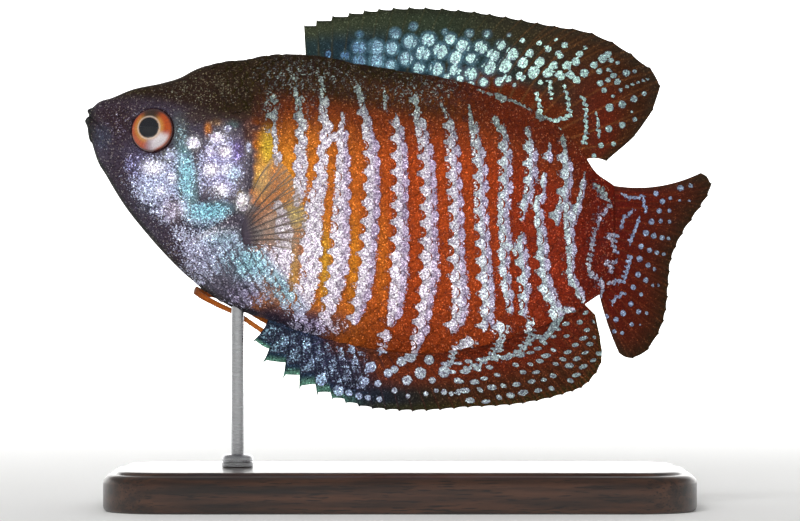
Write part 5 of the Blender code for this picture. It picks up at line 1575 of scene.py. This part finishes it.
CAUDAL_SPOTS = [
    (72.1, 27.7, 0.3), (72.9, 26.7, 0.3), (72.5, 25.5, 0.3), (73.9, 27.1, 0.2), (73.8, 25.5, 0.22),
    (75.2, 28.4, 0.36), (76.5, 28.7, 0.25), (71.5, 24.1, 0.34), (72.7, 24.2, 0.26), (73.8, 24.1, 0.2),
    (70.8, 22.7, 0.34), (71.8, 22.3, 0.3), (72.9, 22.1, 0.28), (73.7, 22.0, 0.2), (70.2, 21.0, 0.3),
    (71.3, 20.5, 0.28), (72.2, 20.2, 0.25), (73.1, 20.0, 0.2), (70.0, 19.4, 0.34), (71.1, 18.6, 0.3),
    (71.9, 18.1, 0.2), (69.8, 17.4, 0.33), (70.8, 16.7, 0.3), (71.7, 16.0, 0.18), (69.2, 15.8, 0.3),
    (70.2, 14.9, 0.22), (68.9, 13.7, 0.3), (69.9, 12.7, 0.28), (70.9, 12.5, 0.2), (67.9, 12.5, 0.32),
    (69.0, 11.1, 0.25), (67.0, 11.7, 0.3), (65.8, 12.1, 0.26), (66.8, 10.2, 0.24), (67.8, 10.0, 0.22),
    (70.0, 11.0, 0.16), (72.4, 16.0, 0.16), (76.3, 26.8, 0.14), (75.1, 26.8, 0.15),
]
CAUDAL_GROUND = shades(
    (0.0, (106, 24, 12)), (0.3, (98, 24, 12)), (0.7, (84, 28, 12)), (0.9, (60, 30, 14)), (1.0, (46, 34, 18))
)
CAUDAL_TINT = shades((0.0, (138, 142, 158)), (0.5, (130, 148, 172)), (1.0, (124, 142, 152)))
CAUDAL_EDGE, CAUDAL_RAY = (56, 46, 34), (140, 70, 40)


def paint_caudal(number, share, height, ridge_at, spacing, x, z):
    """Deep red, dark at the margin, with rows of small blue-white spots."""
    outer = np.maximum(ease(1.2 - number, 0, 1.2), ease(number - 14.6, 0, 1.4))
    ground = mixed(CAUDAL_GROUND(share), linear(*CAUDAL_EDGE), 0.6 * outer)
    ground = mixed(ground, linear(*CAUDAL_RAY), 0.35 * ridge_at * (1 - 0.6 * share))
    pale = np.maximum((round_spots(x, z, CAUDAL_SPOTS) + 0.12) / 1.12, mark_depth(x, z))
    return ground, CAUDAL_TINT(share), pale, np.full(x.shape, 0.5)


dorsal = fin_sheet("dorsal_web", DORSAL_RAYS, on_back, wave(0.5, 1.3), DORSAL_SPINES, 16, paint_dorsal)
anal = fin_sheet("anal_web", ANAL_RAYS, on_belly, wave(0.3, 1.5), ANAL_SPINES, 15, paint_anal)
caudal = fin_sheet("caudal_web", CAUDAL_RAYS, lambda where: where, wave(0.7, 0.5), (), 0, paint_caudal)
web_finish = stored_colour_material("fin_pigment", 0.5, 0.04, rag=0.26, outline=0.35, bump=0.25, sparkle=0.06)
for web, node in ((dorsal, "dorsal_fin"), (anal, "anal_fin"), (caudal, "caudal_fin")):
    web.data.materials.append(web_finish)
    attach(web, "root")
    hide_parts(node)


# Pectoral fins
# A clear rounded paddle behind each gill cover, its web almost colourless between thin dark forked rays. It
# stands off the flank towards its tips.
PECTORAL_RAYS = [
    (0, (20.1, 24.7), 23.9, 32.6, -0.5), (1, (20.2, 24.3), 25.4, 31.0, -0.4),
    (3, (20.3, 23.6), 26.8, 28.6, -0.3), (5, (20.4, 22.9), 27.7, 25.8, -0.1),
    (7, (20.6, 22.2), 28.0, 23.2, 0.1), (8, (20.7, 21.7), 27.3, 21.6, 0.2),
    (9, (20.8, 21.2), 26.0, 20.4, 0.2),
]
PECTORAL_ROOT_HALF, PECTORAL_SPREAD = 0.4, 2.0


def pectoral_place(side):
    """The middle of a pectoral fin, across the fish, at places along its rays."""
    return lambda x, z, s, t: side * (flank(x, z) + 0.75 + PECTORAL_SPREAD * np.clip(s, 0, 1) ** 1.3)


PECTORAL_WEB = shades((0.0, (86, 70, 90)), (0.2, (220, 196, 184)), (1.0, (240, 216, 188)))
PECTORAL_DARK = shades((0.0, (54, 40, 60)), (0.3, (66, 48, 42)), (1.0, (120, 90, 62)))


def paint_pectoral(number, share, height, ridge_at, spacing, x, z):
    """Clear cream web between dark rays; how solid it is goes in the place of the glitter."""
    opaque = np.clip(0.1 + 0.75 * ridge_at**2 + 0.7 * ease(0.16 - share, 0.0, 0.16), 0, 1)
    web = PECTORAL_WEB(share)
    return mixed(web, PECTORAL_DARK(share), ridge_at), web, np.zeros(x.shape), opaque


def clear_web_material():
    """A web that lets the flank show through; how solid it is at each point is stored as grit."""
    made = simple_material("clear_web", Roughness=0.3, Coat_Weight=0.3, Coat_Roughness=0.15)
    tree = made.node_tree
    shader = tree.nodes["Principled BSDF"]
    cloud = remap(tree, noise(tree, object_place(tree), 1500.0, 3.0), 0.3, 0.7, 0.8, 1.1)
    tree.links.new(scaled_colour(tree, stored(tree, "ground"), cloud), shader.inputs["Base Color"])
    tree.links.new(stored(tree, "grit", "Fac"), shader.inputs["Alpha"])
    return made


clear_web = clear_web_material()
for side, letter in ((-1, "l"), (1, "r")):
    paddle = fin_sheet(
        f"pectoral_web_{letter}", PECTORAL_RAYS, lambda where: where, pectoral_place(side), (), 0,
        paint_pectoral, PECTORAL_ROOT_HALF, 48,
    )
    paddle.data.materials.append(clear_web)
    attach(paddle, "root")
    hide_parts(f"pectoral_fin_{letter}")


# Pelvic threads
# Each pelvic fin is one long bendy feeler of a single ray in orange skin, with low joints along it. They
# trail back beside the anal fin.
THREAD_ROUTES = {
    "pelvic_thread_l": [
        (13.7, -0.55, 15.3), (14.6, 0.1, 14.6), (16.4, 1.5, 13.6), (19.0, 2.05, 12.3), (23.5, 2.0, 9.4),
        (30.0, 1.7, 6.3), (38.0, 1.6, 4.6), (46.0, 1.7, 4.5), (52.0, 2.0, 5.4),
    ],
    "pelvic_thread_r": [
        (13.7, 0.8, 15.5), (14.9, 1.9, 15.0), (16.6, 2.9, 14.6), (19.0, 3.3, 13.5), (23.5, 3.3, 10.9),
        (30.0, 3.0, 7.9), (38.0, 2.8, 6.3), (46.0, 2.9, 6.4), (53.0, 3.2, 7.6),
    ],
}
THREAD_ROOT_RADIUS, THREAD_TIP_RADIUS = 0.42, 0.25
THREAD_SHADES = shades(
    (0.0, (150, 84, 48)), (0.15, (214, 112, 40)), (0.8, (222, 128, 48)), (1.0, (196, 104, 44))
)


def thread(name, route, rings=420, around=14):
    """A tapering tube along its route, with the low joints of its one ray."""
    curve = through(route, range(len(route)))
    steps = np.linspace(0, 1, rings)
    places = curve(steps * (len(route) - 1)).T
    along = np.gradient(places, axis=0)
    along /= np.linalg.norm(along, axis=1)[:, None]
    side = np.cross(along, (0.0, 0.0, 1.0))
    side /= np.linalg.norm(side, axis=1)[:, None]
    other = np.cross(along, side)
    radius = THREAD_ROOT_RADIUS + (THREAD_TIP_RADIUS - THREAD_ROOT_RADIUS) * steps**0.6
    radius = radius * (1 + 0.06 * np.sin(steps * 330.0)) * np.sqrt(np.clip((1.0 - steps) / 0.006, 0.05, 1))
    turn = np.linspace(0, 2 * math.pi, around, endpoint=False)
    flat = side[:, None] * np.cos(turn)[:, None] + other[:, None] * np.sin(turn)[:, None]
    points = (places[:, None] + flat * radius[:, None, None]).reshape(-1, 3)
    made = build_mesh(name, place(np.vstack([points, places[:1], places[-1:]])), *tube_faces(rings, around))
    pigment = THREAD_SHADES(steps)
    pigment = np.vstack([np.repeat(pigment, around, 0), pigment[:1], pigment[-1:]])
    give_colours(made, pigment, pigment, 0.0, 0.22)
    return made


thread_finish = stored_colour_material("thread_pigment", 0.45, 0.2, cells=9000.0, sparkle=0.0)
for name, route in THREAD_ROUTES.items():
    feeler = thread(f"{name}_skin", route)
    feeler.data.materials.append(thread_finish)
    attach(feeler, "root")
    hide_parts(name)
